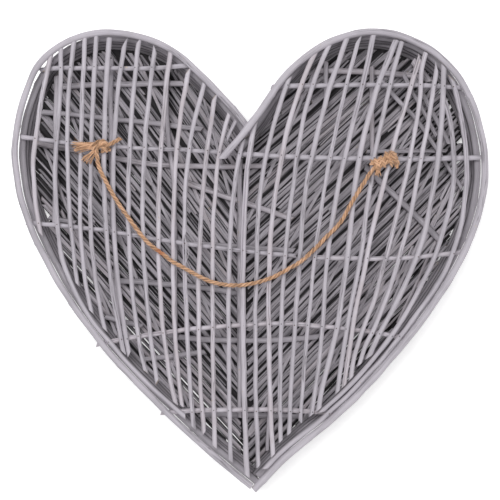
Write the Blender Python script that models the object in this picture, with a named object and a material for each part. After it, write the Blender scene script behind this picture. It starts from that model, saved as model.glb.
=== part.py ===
"""A heart woven from willow rods, with a slack jute hanger, lying face down.

Seven layers lie on each other, from the floor up: the panel of slanting sticks
that is the heart's front, the sticks that tie it, the rails and the posts nailed
to it, a hollow, the crossbars, and on top the uprights inside the back hoop.
Four more hoops under the back hoop make the side wall. The hanger is tied round
two uprights and lies slack across the others.

X runs to the right, Y towards the two lobes and Z up. The origin is on the floor
under the middle of the outline. Plan places are in thousandths: of the half width
between the hoops' centre lines, and of the height above the tip.
"""
import functools
import math

import bmesh
import bpy
import numpy as np
from mathutils import Matrix

MM = 0.001

# Driving dimensions
WIDTH = 500 * MM
HEIGHT = 486 * MM
RIM_DIA = 7.3 * MM
LOWER_RIM_DIA = 7.4 * MM
LOWER_RIMS = 4
CROSSBAR_DIA = 5.2 * MM
UPRIGHT_DIA = 5.0 * MM
STICK = 4.5 * MM
RAIL_DIA = 6.4 * MM
POST_DIA = 5.0 * MM
ROPE_DIA = 4.4 * MM

# Clearances
GAP = 0.3 * MM
SIDE_GAP = 0.8 * MM
BITE = 0.3 * MM

# How the hoops of the side wall step in under the back hoop
OVERHANG = 5.5 * MM
STEP_IN = 1.5 * MM
TAIL = 14 * MM

# How finely bent rods are cut into straight facets
FINE = 0.5 * MM
RIM_CHORD = 1.4 * MM
ROD_CHORD = 0.8 * MM

# Where the back hoop's left rod starts to dip to the notch, and where it lies lowest
DIP_START = 48 * MM
DIP_END = 14 * MM
# Where its right rod starts to rise over the uprights, and where the tail lies level
RISE_START = 92 * MM
RISE_END = 54 * MM
# How softly an upright turns to run along the rim
EASE = 22 * MM

# The two rods of the outline, from the notch over the lobe and down to the tip
LEFT_RIM = [(2, 781), (-143, 867), (-313, 952), (-474, 990), (-695, 992), (-882, 932),
            (-980, 827), (-998, 685), (-878, 508), (-602, 298), (-219, 106), (6, 4)]
RIGHT_RIM = [(-130, 718), (10, 805), (159, 911), (346, 981), (554, 1000), (766, 961), (917, 873),
             (996, 718), (958, 582), (790, 414), (435, 195), (125, 57), (12, -3)]

# Crossbars: thickness as a share of CROSSBAR_DIA, then the points they are bent through
CROSSBARS = {
    "crossbar_1_left": (0.95, [(-910, 919), (-852, 922), (-425, 923), (-250, 929)]),
    "crossbar_1_right": (1.0, [(84, 882), (430, 886), (770, 884), (907, 880)]),
    "crossbar_2_left": (0.95, [(-989, 772), (-852, 766), (-575, 750), (-212, 741), (-64, 734)]),
    "crossbar_2_right": (1.1, [(-48, 734), (215, 727), (642, 723), (992, 726)]),
    "crossbar_3_left": (0.95, [(-965, 583), (-809, 577), (-553, 560), (-212, 532), (198, 509)]),
    "crossbar_3_right": (1.0, [(215, 508), (578, 504), (770, 510), (915, 521)]),
    "crossbar_4": (1.0, [(-666, 314), (-383, 340), (2, 359), (207, 359), (412, 348), (668, 328)]),
    "crossbar_5": (1.0, [(-389, 164), (-212, 169), (2, 171), (215, 165), (386, 163)]),
}

# Uprights: thickness at the top and the bottom as shares of UPRIGHT_DIA, then where each one
# crosses the chart's lines
CHART_LINES = (940, 850, 705, 520, 325, 140)
UPRIGHTS = {
    1: (1.0, 0.9, (-855, -890, -927, -886, None, None)),
    2: (1.0, 1.0, (-810, -814, -833, -808, -686, None)),
    3: (1.0, 0.9, (-761, -778, -780, -757, -699, None)),
    4: (1.0, 0.9, (-710, -716, -725, -720, -657, None)),
    5: (1.0, 0.9, (-663, -672, -680, -676, -614, None)),
    6: (1.15, 0.95, (-608, -619, -624, -610, -551, None)),
    7: (0.95, 0.95, (-546, -570, -585, -578, -525, None)),
    8: (1.0, 0.95, (-485, -504, -514, -517, -476, -389)),
    9: (1.0, 0.95, (-412, -432, -457, -457, -425, -368)),
    10: (1.0, 0.95, (-345, -364, -387, -393, -368, -304)),
    11: (1.0, 0.9, (-255, -289, -321, -330, -321, -283)),
    12: (0.95, 1.0, (-164, -219, -272, -277, -270, -245)),
    13: (1.0, 0.95, (None, -155, -194, -219, -221, -202)),
    14: (0.9, 0.95, (None, -79, -143, -158, -162, -155)),
    15: (1.0, 0.95, (None, 10, -58, -90, -94, -88)),
    16: (1.2, 1.15, (None, 36, -13, -32, -32, -22)),
    17: (1.0, 0.95, (193, 131, 55, 25, 27, 31)),
    18: (1.0, 1.0, (261, 191, 123, 80, 82, 91)),
    19: (1.0, 0.95, (310, 242, 193, 148, 128, 127)),
    20: (1.15, 0.95, (380, 325, 250, 212, 186, 165)),
    21: (0.85, 0.85, (439, 395, 329, 282, 237, 210)),
    22: (1.15, 0.9, (499, 460, 390, 329, 301, 252)),
    23: (1.2, 1.05, (588, 522, 456, 414, 356, 261)),
    24: (1.05, 0.95, (624, 584, 520, 471, 401, 350)),
    25: (1.0, 0.95, (715, 673, 594, 499, 429, 354)),
    26: (1.0, 0.95, (729, 720, 664, 584, 471, 342)),
    27: (1.0, 0.95, (798, 768, 720, 641, 503, 291)),
    28: (1.2, 1.1, (824, 813, 792, 715, 533, 291)),
    29: (1.05, 0.95, (None, 828, 868, 792, 596, None)),
    30: (1.0, 0.95, (826, 881, 919, 864, 643, None)),
}
# The three that run on along the rim once they reach it, and how high above the tip they end
ALONG_RIM = {2: 160, 29: 92, 30: 40}
# The ones that crowd together at the lower right
CROWDED = range(22, 29)
# The ones laid first, which the others stop short of
LAID_FIRST = (16, 14, 26, 28, 24, 23)
# The one that runs on under the back hoop's tail
UNDER_TAIL = 14
# A short twig beside it, under the notch
TWIG = (0.75, [(-52, 818), (-80, 790), (-112, 752)])

# The front panel: where the two halves meet, and how far their top and bottom sticks rise in a
# thousand across
SEAM = -30
LEFT_RISES = (763, 533)
RIGHT_RISES = (432, 552)
LEFT_SEAM = (706, 12)
RIGHT_SEAM = (832, 12)
STICK_ROOM = 1.35
# The shortest stick that is used, in widths
SHORTEST = 10
# The sticks that tie the panel: where each crosses the line at TIE_LINE, and its rise
TIE_LINE = 565
LEFT_TIES = [(-760, 1341), (-580, 1274), (-340, 1156), (-170, 1212), (-50, 1921)]
RIGHT_TIES = [(-35, 1156), (200, 891), (460, 968), (650, 1010), (830, 1104)]

# Rails and posts nailed on the panel: thickness as a share, then the points
LEFT_RAILS = [
    (1.0, [(-915, 886), (-650, 893), (-215, 895)]),
    (0.85, [(-960, 834), (-650, 819), (-194, 792)]),
    (0.95, [(-990, 769), (-758, 745), (-433, 716), (-63, 710), (219, 716)]),
    (0.8, [(-960, 602), (-758, 584)]),
    (0.85, [(-259, 537), (2, 528), (197, 521)]),
    (0.95, [(-289, 675), (-76, 637), (188, 591)]),
    (0.95, [(-580, 453), (-215, 438), (45, 414)]),
    (0.9, [(-660, 377), (-461, 350)]),
    (0.9, [(-540, 273), (-185, 295)]),
    (0.9, [(-365, 330), (2, 320), (300, 329)]),
    (0.9, [(-240, 155), (235, 150)]),
]
LEFT_POSTS = [
    (1.0, [(-842, 930), (-846, 770), (-850, 570)]),
    (1.0, [(-604, 950), (-604, 720), (-569, 345)]),
    (1.0, [(-362, 940), (-356, 730), (-331, 690), (-327, 262)]),
    (1.0, [(-46, 725), (-50, 410), (-46, 32)]),
    (0.9, [(80, 198), (71, 49)]),
]
RIGHT_RAILS = [
    (0.95, [(241, 925), (545, 920), (825, 905)]),
    (0.65, [(500, 743), (866, 745)]),
    (1.0, [(494, 711), (629, 644), (754, 581), (836, 537)]),
]
RIGHT_POSTS = [
    (1.0, [(326, 951), (326, 833)]),
    (1.0, [(525, 935), (525, 655)]),
    (0.95, [(551, 912), (611, 873), (715, 815), (793, 757), (919, 655)]),
    (0.95, [(659, 917), (758, 822), (826, 756)]),
    (0.95, [(703, 912), (867, 752)]),
    (1.4, [(672, 968), (716, 934), (788, 889)]),
]

# The hanger's route across the uprights
ROPE_ROUTE = [(-651, 727), (-643, 703), (-616, 674), (-591, 650), (-552, 617), (-510, 587),
              (-467, 557), (-424, 533), (-381, 517), (-339, 500), (-277, 482), (-214, 464),
              (-150, 451), (-86, 446), (-23, 447), (40, 454), (104, 466), (168, 484), (210, 497),
              (269, 524), (322, 552), (375, 580), (430, 628), (489, 677), (501, 687)]
ROPE_STEP = 2.6 * ROPE_DIA

# The two knots: middle, half sizes in rope diameters, turn, and the rods that each sits astride
KNOTS = {
    "hanger_knot_left": ((-638, 748), (1.73, 1.57, 1.36), 15, ("upright_06",)),
    "hanger_knot_right": ((564, 714), (3.3, 1.68, 1.36), 35,
                          ("upright_24", "upright_25")),
}

# Levels of the layers, from the floor up
THICKEST_CROSSBAR = CROSSBAR_DIA * max(share for share, _ in CROSSBARS.values())
THICKEST_UPRIGHT = UPRIGHT_DIA * max(top for top, _, _ in UPRIGHTS.values())
PANEL_FLOOR = GAP
TIE_FLOOR = PANEL_FLOOR + STICK - BITE
RAIL_FLOOR = TIE_FLOOR + STICK + GAP
POST_FLOOR = RAIL_FLOOR + RAIL_DIA - BITE
CROSSBAR_FLOOR = LOWER_RIMS * (LOWER_RIM_DIA + GAP)
UPRIGHT_FLOOR = CROSSBAR_FLOOR + THICKEST_CROSSBAR + GAP
TAIL_FLOOR = UPRIGHT_FLOOR + UPRIGHT_DIA + GAP
ROPE_FLOOR = UPRIGHT_FLOOR + THICKEST_UPRIGHT + GAP
KNOT_MIDDLE = UPRIGHT_FLOOR + 1.3 * UPRIGHT_DIA

FINISHES = {
    "near_willow": ((0.50, 0.47, 0.51, 1.0), 0.72),
    "inner_willow": ((0.30, 0.28, 0.30, 1.0), 0.8),
    "jute": ((0.60, 0.34, 0.17, 1.0), 0.9),
}


# Lines in plan

def lengths(line):
    """Distance along a line at each of its points."""
    return np.concatenate([[0.0], np.cumsum(np.linalg.norm(np.diff(line, axis=0), axis=1))])


def even(line, step):
    """The same line with points evenly spaced, about a step apart."""
    along = lengths(line)
    marks = np.linspace(0.0, along[-1], max(2, int(round(along[-1] / step)) + 1))
    return np.stack([np.interp(marks, along, column) for column in line.T], axis=1)


def smooth(points, step=FINE):
    """A smooth curve through chosen points: a centripetal Catmull-Rom spline."""
    p = np.asarray(points, float)
    if len(p) == 2:
        return even(p, step)
    p = np.vstack([2 * p[0] - p[1], p, 2 * p[-1] - p[-2]])
    pieces = []
    for a, b, c, d in zip(p, p[1:], p[2:], p[3:]):
        knots = np.cumsum([0.0] + [np.linalg.norm(q - r) ** 0.5 for q, r in ((b, a), (c, b), (d, c))])
        t = np.linspace(knots[1], knots[2], 24)[:, None]

        def mix(first, second, start, end):
            return ((end - t) * first + (t - start) * second) / (end - start)

        near, mid, far = (mix(a, b, knots[0], knots[1]), mix(b, c, knots[1], knots[2]),
                          mix(c, d, knots[2], knots[3]))
        pieces.append(mix(mix(near, mid, knots[0], knots[2]), mix(mid, far, knots[1], knots[3]),
                          knots[1], knots[2])[:-1])
    return even(np.vstack(pieces + [p[-2:-1]]), step)


def thin(line, error):
    """Keeps only the points that a straight facet would miss by more than the error."""
    if len(line) < 3:
        return line
    start, run = line[0], line[-1] - line[0]
    away = line - start
    share = np.clip(away @ run / max(run @ run, 1e-12), 0, 1)
    miss = np.linalg.norm(away - share[:, None] * run, axis=1)
    worst = int(miss.argmax())
    if miss[worst] <= error:
        return line[[0, -1]]
    return np.vstack([thin(line[:worst + 1], error)[:-1], thin(line[worst:], error)])


def offset(line, distance):
    """The parallel line on the left hand of the direction of travel, with mitred corners."""
    run = np.diff(line, axis=0)
    run /= np.linalg.norm(run, axis=1)[:, None]
    normal = np.stack([-run[:, 1], run[:, 0]], axis=1)
    both = np.vstack([normal[:1], normal[:-1] + normal[1:], normal[-1:]])
    both /= np.linalg.norm(both, axis=1)[:, None]
    mitre = np.concatenate([[1.0], (both[1:-1] * normal[:-1]).sum(1), [1.0]])
    return line + both * (distance / mitre)[:, None]


def directions(line):
    """Unit direction of travel at each point of a line."""
    run = np.gradient(line, axis=0)
    return run / np.linalg.norm(run, axis=1)[:, None]


def nearest(points, line):
    """Distance of each point to a line, and the direction from the line's nearest place to it."""
    a, run = line[:-1], np.diff(line, axis=0)
    away = points[:, None] - a[None]
    share = np.clip((away * run).sum(2) / (run * run).sum(1), 0, 1)
    away -= share[..., None] * run
    distance = np.linalg.norm(away, axis=2)
    rows = np.arange(len(points)), distance.argmin(1)
    return distance[rows], away[rows] / np.maximum(distance[rows], 1e-9)[:, None]


def is_clear(line, width, other, other_width, gap):
    """True at each point where the end of a rod, cut there, would be clear of another rod."""
    distance, away = nearest(line, other)
    heading = directions(line)
    reach = np.abs(heading[:, 0] * away[:, 1] - heading[:, 1] * away[:, 0])
    return distance > other_width / 2 + width / 2 * reach + gap


def stop_short(line, width, others, gap=SIDE_GAP, middle=0.5):
    """Cuts both ends of a line back to where a rod of that width is clear of the other rods."""
    clear = np.all([is_clear(line, width, rod, rod_width, gap) for rod, rod_width in others], axis=0)
    centre = int(len(line) * middle)
    before = np.flatnonzero(~clear[:centre])
    after = np.flatnonzero(~clear[centre:])
    first = before[-1] + 1 if len(before) else 0
    last = centre + after[0] if len(after) else len(line)
    return line[first:last]


def crossing(line, other):
    """Index of the first point of a fine line that lies past another line."""
    distance, _ = nearest(line, other)
    return int(distance.argmin())


# The outline

def raw_place(points):
    """Plan places in metres from thousandths, before the origin is moved to the middle."""
    share = np.asarray(points, float) / 1000
    return share * [(WIDTH - RIM_DIA) / 2, HEIGHT - RIM_DIA]


def outline_middle():
    """Middle of the box round both hoops."""
    lines = [thin(smooth(raw_place(points)), RIM_CHORD) for points in (LEFT_RIM, RIGHT_RIM)]
    edges = np.vstack([offset(line, side * RIM_DIA / 2) for line in lines for side in (-1, 1)])
    return (edges.min(0) + edges.max(0)) / 2


MIDDLE = outline_middle()


def place(points):
    """Plan places in metres from thousandths of the outline."""
    return raw_place(points) - MIDDLE


def rim_line(side, inset=0.0):
    """Centre line of a hoop on one side, set in from the back hoop's."""
    points, inward = (LEFT_RIM, 1) if side == "left" else (RIGHT_RIM, -1)
    return offset(thin(smooth(place(points)), RIM_CHORD), inward * inset)


@functools.cache
def lower_rim_lines(number):
    """Centre lines of the two rods of a hoop of the side wall, counted from the floor.

    At the notch and at the tip one rod runs through and the other is butted against it.
    """
    inset = OVERHANG + (LOWER_RIMS - number) * STEP_IN
    through, butted = ("right", "left") if number % 2 else ("left", "right")
    first, second = rim_line(through, inset), rim_line(butted, inset)
    fine = even(first, FINE)
    half = len(fine) // 2
    start = max(0, crossing(fine[:half], second) - int(TAIL / FINE))
    end = half + crossing(fine[half:], second) + int(LOWER_RIM_DIA / 2 / FINE)
    first = thin(fine[start:end], RIM_CHORD / 9)
    second = stop_short(even(second, FINE), LOWER_RIM_DIA, [(first, LOWER_RIM_DIA)])
    return {through: first, butted: thin(second, RIM_CHORD / 9)}


# Solids

def material(name):
    """The plain finish of one kind of piece."""
    made = bpy.data.materials.get(name)
    if made is None:
        colour, roughness = FINISHES[name]
        made = bpy.data.materials.new(name)
        made.use_nodes = True
        shader = made.node_tree.nodes["Principled BSDF"]
        shader.inputs["Base Color"].default_value = colour
        shader.inputs["Roughness"].default_value = roughness
        shader.inputs["Metallic"].default_value = 0.0
    return made


def section(sides):
    """A section as wide and as high as one, with flats below and above."""
    angle = np.pi / 2 + np.pi / sides + 2 * np.pi * np.arange(sides) / sides
    ring = np.stack([np.cos(angle), np.sin(angle)], axis=1)
    return ring / (2 * np.abs(ring).max(0))


def add_rod(mesh, line, widths, sides):
    """Adds a rod to a bmesh: rings of its section along a line in space, with flat ends."""
    line = np.asarray(line, float)
    run = np.diff(line, axis=0)
    run /= np.linalg.norm(run, axis=1)[:, None]
    heading = np.vstack([run[:1], run[:-1] + run[1:], run[-1:]])
    heading /= np.linalg.norm(heading, axis=1)[:, None]
    mitre = 1 / np.concatenate([[1.0], (heading[1:-1] * run[:-1]).sum(1), [1.0]])
    side = np.cross(heading, [0, 0, 1])
    side /= np.linalg.norm(side, axis=1)[:, None]
    up = np.cross(side, heading)
    ring = section(sides)
    widths = np.broadcast_to(widths, len(line))
    rings = [[mesh.verts.new(centre + width * (x * s * m + y * u)) for x, y in ring]
             for centre, width, s, u, m in zip(line, widths, side, up, mitre)]
    for ring_a, ring_b in zip(rings, rings[1:]):
        for k in range(sides):
            mesh.faces.new((ring_a[k], ring_a[k - 1], ring_b[k - 1], ring_b[k]))
    mesh.faces.new(rings[0])
    mesh.faces.new(rings[-1][::-1])


def add_object(name, mesh, finish, as_cutter=False):
    """Makes a named object of a bmesh, shaded smooth between its ridges."""
    bmesh.ops.recalc_face_normals(mesh, faces=mesh.faces)
    data = bpy.data.meshes.new(name)
    mesh.to_mesh(data)
    mesh.free()
    data.materials.append(material(finish))
    data.shade_smooth()
    data.set_sharp_from_angle(angle=math.radians(62))
    made = bpy.data.objects.new(name, data)
    bpy.context.scene.collection.objects.link(made)
    if as_cutter:
        made.hide_render = True
        made.display_type = "WIRE"
    return made


def rods(name, entries, finish, sides, as_cutter=False):
    """One object that holds one or more rods, each given by its line and its widths."""
    mesh = bmesh.new()
    for line, widths in entries:
        add_rod(mesh, line, widths, sides)
    return add_object(name, mesh, finish, as_cutter)


def boolean(target, other, operation):
    """Joins another object to a target, or cuts it out."""
    change = target.modifiers.new(operation.lower(), "BOOLEAN")
    change.operation = operation
    change.solver = "EXACT"
    change.object = other


def lifted(line, height):
    """A plan line at one height, or at a height for each point."""
    return np.column_stack([line, np.broadcast_to(height, len(line))])


# The pieces

def lower_rims():
    """The four hoops of the side wall."""
    for number in range(1, LOWER_RIMS + 1):
        level = (number - 1) * (LOWER_RIM_DIA + GAP) + LOWER_RIM_DIA / 2
        for side, line in lower_rim_lines(number).items():
            rods(f"rim_{number}_{side}", [(lifted(line, level), LOWER_RIM_DIA)], "inner_willow", 6)


def back_rim():
    """The back hoop: the left rod dips under the right one, whose tail rises over the uprights."""
    left, right = rim_line("left"), rim_line("right")
    tail_top = TAIL_FLOOR + RIM_DIA / 2
    flat = UPRIGHT_FLOOR + RIM_DIA / 2
    left_fine = stop_short(even(left, FINE), RIM_DIA, [(right[len(right) // 2:], RIM_DIA)])
    dip = smooth_step(lengths(left_fine), DIP_START, DIP_END)
    left_height = flat + dip * (TAIL_FLOOR - GAP - RIM_DIA - UPRIGHT_FLOOR)
    right_fine = even(right, FINE)
    rise = smooth_step(lengths(right_fine), RISE_START, RISE_END)
    right_height = flat + rise * (tail_top - flat)
    for name, line in (("rim_back_left", lifted(left_fine, left_height)),
                       ("rim_back_right", lifted(right_fine, right_height))):
        rods(name, [(thin(line, RIM_CHORD), RIM_DIA)], "near_willow", 6)


def smooth_step(value, zero_at, one_at):
    """Zero at one value, one at the other, with a soft start and end between."""
    share = np.clip((value - zero_at) / (one_at - zero_at), 0, 1)
    return share * share * (3 - 2 * share)


def crossbars():
    """The crossbars under the uprights, whose left ends poke out under the back hoop."""
    for name, (share, points) in CROSSBARS.items():
        width = share * CROSSBAR_DIA
        line = thin(smooth(place(points)), ROD_CHORD)
        rods(name, [(lifted(line, CROSSBAR_FLOOR + width / 2), width)], "near_willow", 6)


def upright_line(crossings):
    """Centre line of an upright through its crossings, run on past both ends."""
    points = place([(x, y) for x, y in zip(crossings, CHART_LINES) if x is not None])
    first = points[0] + 0.5 * (points[0] - points[1])
    last = points[-1] + 0.6 * (points[-1] - points[-2])
    return smooth(np.vstack([first, points, last]))


def push_apart(lines, widths):
    """Moves each crowded upright to the right until it is clear of its left neighbour."""
    for left, right in zip(CROWDED, CROWDED[1:]):
        guide = lines[left][::-1]
        line = lines[right]
        slope = np.abs(directions(line)[:, 1])
        room = (widths[left] + widths[right]) / 2 + SIDE_GAP
        least = np.interp(line[:, 1], guide[:, 1], guide[:, 0]) + room / np.maximum(slope, 0.4)
        line[:, 0] = np.maximum(line[:, 0], least)


def run_along(line, width, guide, rim, end_height):
    """Lets an upright run on beside the rim, from where it reaches its guide."""
    room, _ = nearest(line, rim)
    wanted, _ = nearest(guide[:1], rim)
    reached = int(np.flatnonzero(room[len(line) // 2:] <= wanted[0])[0]) + len(line) // 2
    ease = int(EASE / FINE)
    fine = even(guide, FINE)
    join = int(np.linalg.norm(fine - line[reached], axis=1).argmin()) + ease
    low = place([(0, end_height)])[0, 1]
    stays = (fine[:, 1] > low) & (np.arange(len(fine)) > join)
    return np.vstack([line[:reached - ease], fine[stays]])


def uprights():
    """The uprights of the back, each ended where it meets the rim or a rod that was laid before."""
    widths = {n: UPRIGHT_DIA * max(top, bottom) for n, (top, bottom, _) in UPRIGHTS.items()}
    lines = {n: upright_line(entry[2]) for n, entry in UPRIGHTS.items()}
    push_apart(lines, widths)
    left, right = rim_line("left"), rim_line("right")
    beside_rim = RIM_DIA / 2 + SIDE_GAP
    first_right = beside_rim + widths[30] / 2
    guides = {2: (offset(left, beside_rim + widths[2] / 2), left),
              30: (offset(right, -first_right), right),
              29: (offset(right, -first_right - widths[30] / 2 - widths[29] / 2 - SIDE_GAP), right)}
    for number, (guide, rim) in guides.items():
        lines[number] = run_along(lines[number], widths[number], guide, rim, ALONG_RIM[number])
    over_notch = crossing(right, left[:3])
    rims = [(left, RIM_DIA), (right[max(over_notch - 1, 0):], RIM_DIA)]
    laid = {}
    for number in (2, 30):
        laid[number] = stop_short(lines[number], widths[number], rims, GAP, 0.4)
    lower_29 = lines[29][len(lines[29]) // 2:]
    order = LAID_FIRST + tuple(n for n in UPRIGHTS if n not in LAID_FIRST and n not in ALONG_RIM)
    for number in order:
        others = rims[:1] if number == UNDER_TAIL else rims
        others = others + [(lower_29, widths[29])] + [(laid[n], widths[n]) for n in laid]
        laid[number] = stop_short(lines[number], widths[number], others)
    others = rims + [(laid[n], widths[n]) for n in laid]
    laid[29] = stop_short(lines[29], widths[29], others, GAP, 0.4)
    for number, line in sorted(laid.items()):
        top, bottom, _ = UPRIGHTS[number]
        facets = thin(line, ROD_CHORD)
        share = lengths(facets) / lengths(facets)[-1]
        width = UPRIGHT_DIA * (top + (bottom - top) * share)
        facets = lifted(facets, UPRIGHT_FLOOR + width / 2)
        rods(f"upright_{number:02d}", [(facets, width)], "near_willow", 6)
    share, points = TWIG
    width = share * UPRIGHT_DIA
    others = rims[:1] + [(laid[n], widths[n]) for n in (14, 15)]
    twig = thin(stop_short(smooth(place(points)), width, others), ROD_CHORD)
    rods("upright_14_twig", [(lifted(twig, UPRIGHT_FLOOR + width / 2), width)], "near_willow", 6)


def inside_hoops(line, width, floor):
    """The stretch of a line that lies within the hoop that is level with its floor."""
    hoop = lower_rim_lines(int(floor // (LOWER_RIM_DIA + GAP)) + 1)
    return stop_short(line, width, [(rod, LOWER_RIM_DIA) for rod in hoop.values()], GAP)


def climbing(side, rise):
    """Direction away from the seam that climbs by so many thousandths in a thousand across."""
    run = raw_place((-1000 if side == "left" else 1000, rise))
    return run / np.linalg.norm(run)


def slanting(side, at, rise):
    """A straight line through a plan point that climbs away from the seam."""
    return at + np.linspace(-HEIGHT, HEIGHT, int(2 * HEIGHT / FINE))[:, None] * climbing(side, rise)


def within_outline(line, width, side):
    """The longest stretch of a slanting line inside the front hoop and on its own side of the seam."""
    outward = -1 if side == "left" else 1
    seam = place([(SEAM, 0)])[0, 0]
    rim = lower_rim_lines(1)[side]
    inside = inside_polygon(line, rim) & ((line[:, 0] - seam) * outward > width / 2 + GAP)
    for rod in lower_rim_lines(1).values():
        inside &= is_clear(line, width, rod, LOWER_RIM_DIA, GAP)
    edges = np.flatnonzero(np.diff(np.concatenate([[False], inside, [False]]).astype(int)))
    spans = list(zip(edges[::2], edges[1::2]))
    if not spans:
        return None
    first, last = max(spans, key=lambda span: span[1] - span[0])
    return line[[first, last - 1]] if last - first > SHORTEST * width / FINE else None


def inside_polygon(points, shape):
    """True for each point inside a closed outline, by counting the edges to its right."""
    x, y = points[:, 0][:, None], points[:, 1][:, None]
    ax, ay = shape.T
    bx, by = np.roll(shape, -1, axis=0).T
    spans = (ay > y) != (by > y)
    at = ax + (y - ay) * (bx - ax) / np.where(by == ay, 1, by - ay)
    return (spans & (at > x)).sum(1) % 2 == 1


def panel_sticks(side):
    """The slanting sticks of one half of the front, evenly spaced where they meet the seam."""
    (top, bottom), rises = (LEFT_SEAM, LEFT_RISES) if side == "left" else (RIGHT_SEAM, RIGHT_RISES)
    start, end = place([(SEAM, top), (SEAM, bottom)])
    across = abs(climbing(side, sum(rises) / 2)[0])
    count = int((start - end)[1] * across / (STICK * STICK_ROOM))
    for share in np.linspace(0, 1, count):
        rise = rises[0] + (rises[1] - rises[0]) * share
        line = within_outline(slanting(side, start + (end - start) * share, rise), STICK, side)
        if line is not None:
            yield lifted(line, PANEL_FLOOR + STICK / 2)


def tie_sticks(side):
    """The steeper sticks that lie across the panel and tie it."""
    for at, rise in LEFT_TIES if side == "left" else RIGHT_TIES:
        line = within_outline(slanting(side, place([(at, TIE_LINE)])[0], rise), STICK, side)
        if line is not None:
            yield lifted(line, TIE_FLOOR + STICK / 2)


def front_panel():
    """The two halves of the front, each one solid of sticks and the sticks that tie them."""
    for side in ("left", "right"):
        name = f"panel_{side}"
        panel = rods(name, [(line, STICK) for line in panel_sticks(side)], "inner_willow", 4)
        ties = rods(f"{name}_ties", [(line, STICK) for line in tie_sticks(side)], "inner_willow", 4, True)
        boolean(panel, ties, "UNION")


def inner_frame():
    """The rails and posts nailed on the panel, joined where they cross."""
    for name, rails, posts in (("inner_frame_left", LEFT_RAILS, LEFT_POSTS),
                               ("inner_frame_right", RIGHT_RAILS, RIGHT_POSTS)):
        lower = []
        for share, points in rails:
            width = share * RAIL_DIA
            line = thin(inside_hoops(smooth(place(points)), width, RAIL_FLOOR), 4 * ROD_CHORD)
            lower.append((lifted(line, RAIL_FLOOR + RAIL_DIA - width / 2), width))
        upper = []
        for share, points in posts:
            width = share * POST_DIA
            line = thin(inside_hoops(smooth(place(points)), width, POST_FLOOR), 4 * ROD_CHORD)
            upper.append((lifted(line, POST_FLOOR + width / 2), width))
        frame = rods(name, lower, "inner_willow", 4)
        boolean(frame, rods(f"{name}_posts", upper, "inner_willow", 4, True), "UNION")


def hanger():
    """The slack jute rope and the two knots that hold it to the uprights."""
    route = even(smooth(place(ROPE_ROUTE)), ROPE_STEP)
    curve = bpy.data.curves.new("hanger_rope", "CURVE")
    curve.dimensions = "3D"
    curve.bevel_depth = ROPE_DIA / 2
    curve.bevel_resolution = 2
    curve.use_fill_caps = True
    spline = curve.splines.new("POLY")
    spline.points.add(len(route) - 1)
    for point, (x, y) in zip(spline.points, route):
        point.co = (x, y, ROPE_FLOOR + ROPE_DIA / 2, 1)
    curve.materials.append(material("jute"))
    bpy.context.scene.collection.objects.link(bpy.data.objects.new("hanger_rope", curve))
    for name, (middle, half, turn, held) in KNOTS.items():
        mesh = bmesh.new()
        bmesh.ops.create_icosphere(mesh, subdivisions=2, radius=1)
        at = Matrix.Translation((*place(middle), KNOT_MIDDLE))
        stretch = Matrix.Diagonal((*(ROPE_DIA * share for share in half), 1))
        shape = Matrix.Rotation(math.radians(turn), 4, "Z") @ stretch
        bmesh.ops.transform(mesh, matrix=at @ shape, verts=mesh.verts)
        knot = add_object(name, mesh, "jute")
        for rod in held:
            boolean(knot, bore(rod, name), "DIFFERENCE")


def bore(rod, knot):
    """A cutter round a rod, fatter than it by the gap."""
    source = bpy.data.objects[rod]
    cutter = bpy.data.objects.new(f"{knot}_bore_{rod}", source.data.copy())
    bpy.context.scene.collection.objects.link(cutter)
    cutter.hide_render = True
    cutter.display_type = "WIRE"
    swell = cutter.modifiers.new("swell", "DISPLACE")
    swell.strength = 1.2 * GAP
    swell.mid_level = 0
    return cutter


def main():
    for thing in list(bpy.data.objects):
        bpy.data.objects.remove(thing, do_unlink=True)
    lower_rims()
    front_panel()
    inner_frame()
    crossbars()
    uprights()
    back_rim()
    hanger()


main()
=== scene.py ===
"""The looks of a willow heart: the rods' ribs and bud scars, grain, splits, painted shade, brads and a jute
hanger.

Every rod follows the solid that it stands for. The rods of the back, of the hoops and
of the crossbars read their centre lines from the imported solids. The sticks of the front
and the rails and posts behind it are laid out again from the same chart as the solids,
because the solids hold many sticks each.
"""
import math
import zlib

import bpy
import numpy as np
from bpy.props import FloatProperty, FloatVectorProperty, IntProperty, PointerProperty
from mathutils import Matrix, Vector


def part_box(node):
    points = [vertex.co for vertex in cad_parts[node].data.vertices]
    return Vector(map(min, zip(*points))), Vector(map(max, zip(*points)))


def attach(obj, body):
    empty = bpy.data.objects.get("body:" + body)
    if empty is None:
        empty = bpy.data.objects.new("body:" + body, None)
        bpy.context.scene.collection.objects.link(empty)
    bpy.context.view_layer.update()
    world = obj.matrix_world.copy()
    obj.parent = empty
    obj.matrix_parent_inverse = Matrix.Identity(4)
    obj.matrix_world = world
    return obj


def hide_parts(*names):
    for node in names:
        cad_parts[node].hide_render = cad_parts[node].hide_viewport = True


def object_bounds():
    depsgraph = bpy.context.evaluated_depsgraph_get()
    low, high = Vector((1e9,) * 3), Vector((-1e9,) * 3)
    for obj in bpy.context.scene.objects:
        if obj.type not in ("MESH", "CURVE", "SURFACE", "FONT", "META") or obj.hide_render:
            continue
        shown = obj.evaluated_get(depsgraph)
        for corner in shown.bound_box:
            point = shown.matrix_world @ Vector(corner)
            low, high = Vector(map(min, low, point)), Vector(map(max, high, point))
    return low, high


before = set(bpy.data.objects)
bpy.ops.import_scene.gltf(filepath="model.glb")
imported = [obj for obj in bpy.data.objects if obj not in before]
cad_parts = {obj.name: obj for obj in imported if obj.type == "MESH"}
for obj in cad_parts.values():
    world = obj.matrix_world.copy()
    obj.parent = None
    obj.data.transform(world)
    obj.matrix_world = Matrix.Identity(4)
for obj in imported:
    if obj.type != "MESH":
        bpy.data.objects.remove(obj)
CAD_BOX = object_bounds()

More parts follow.
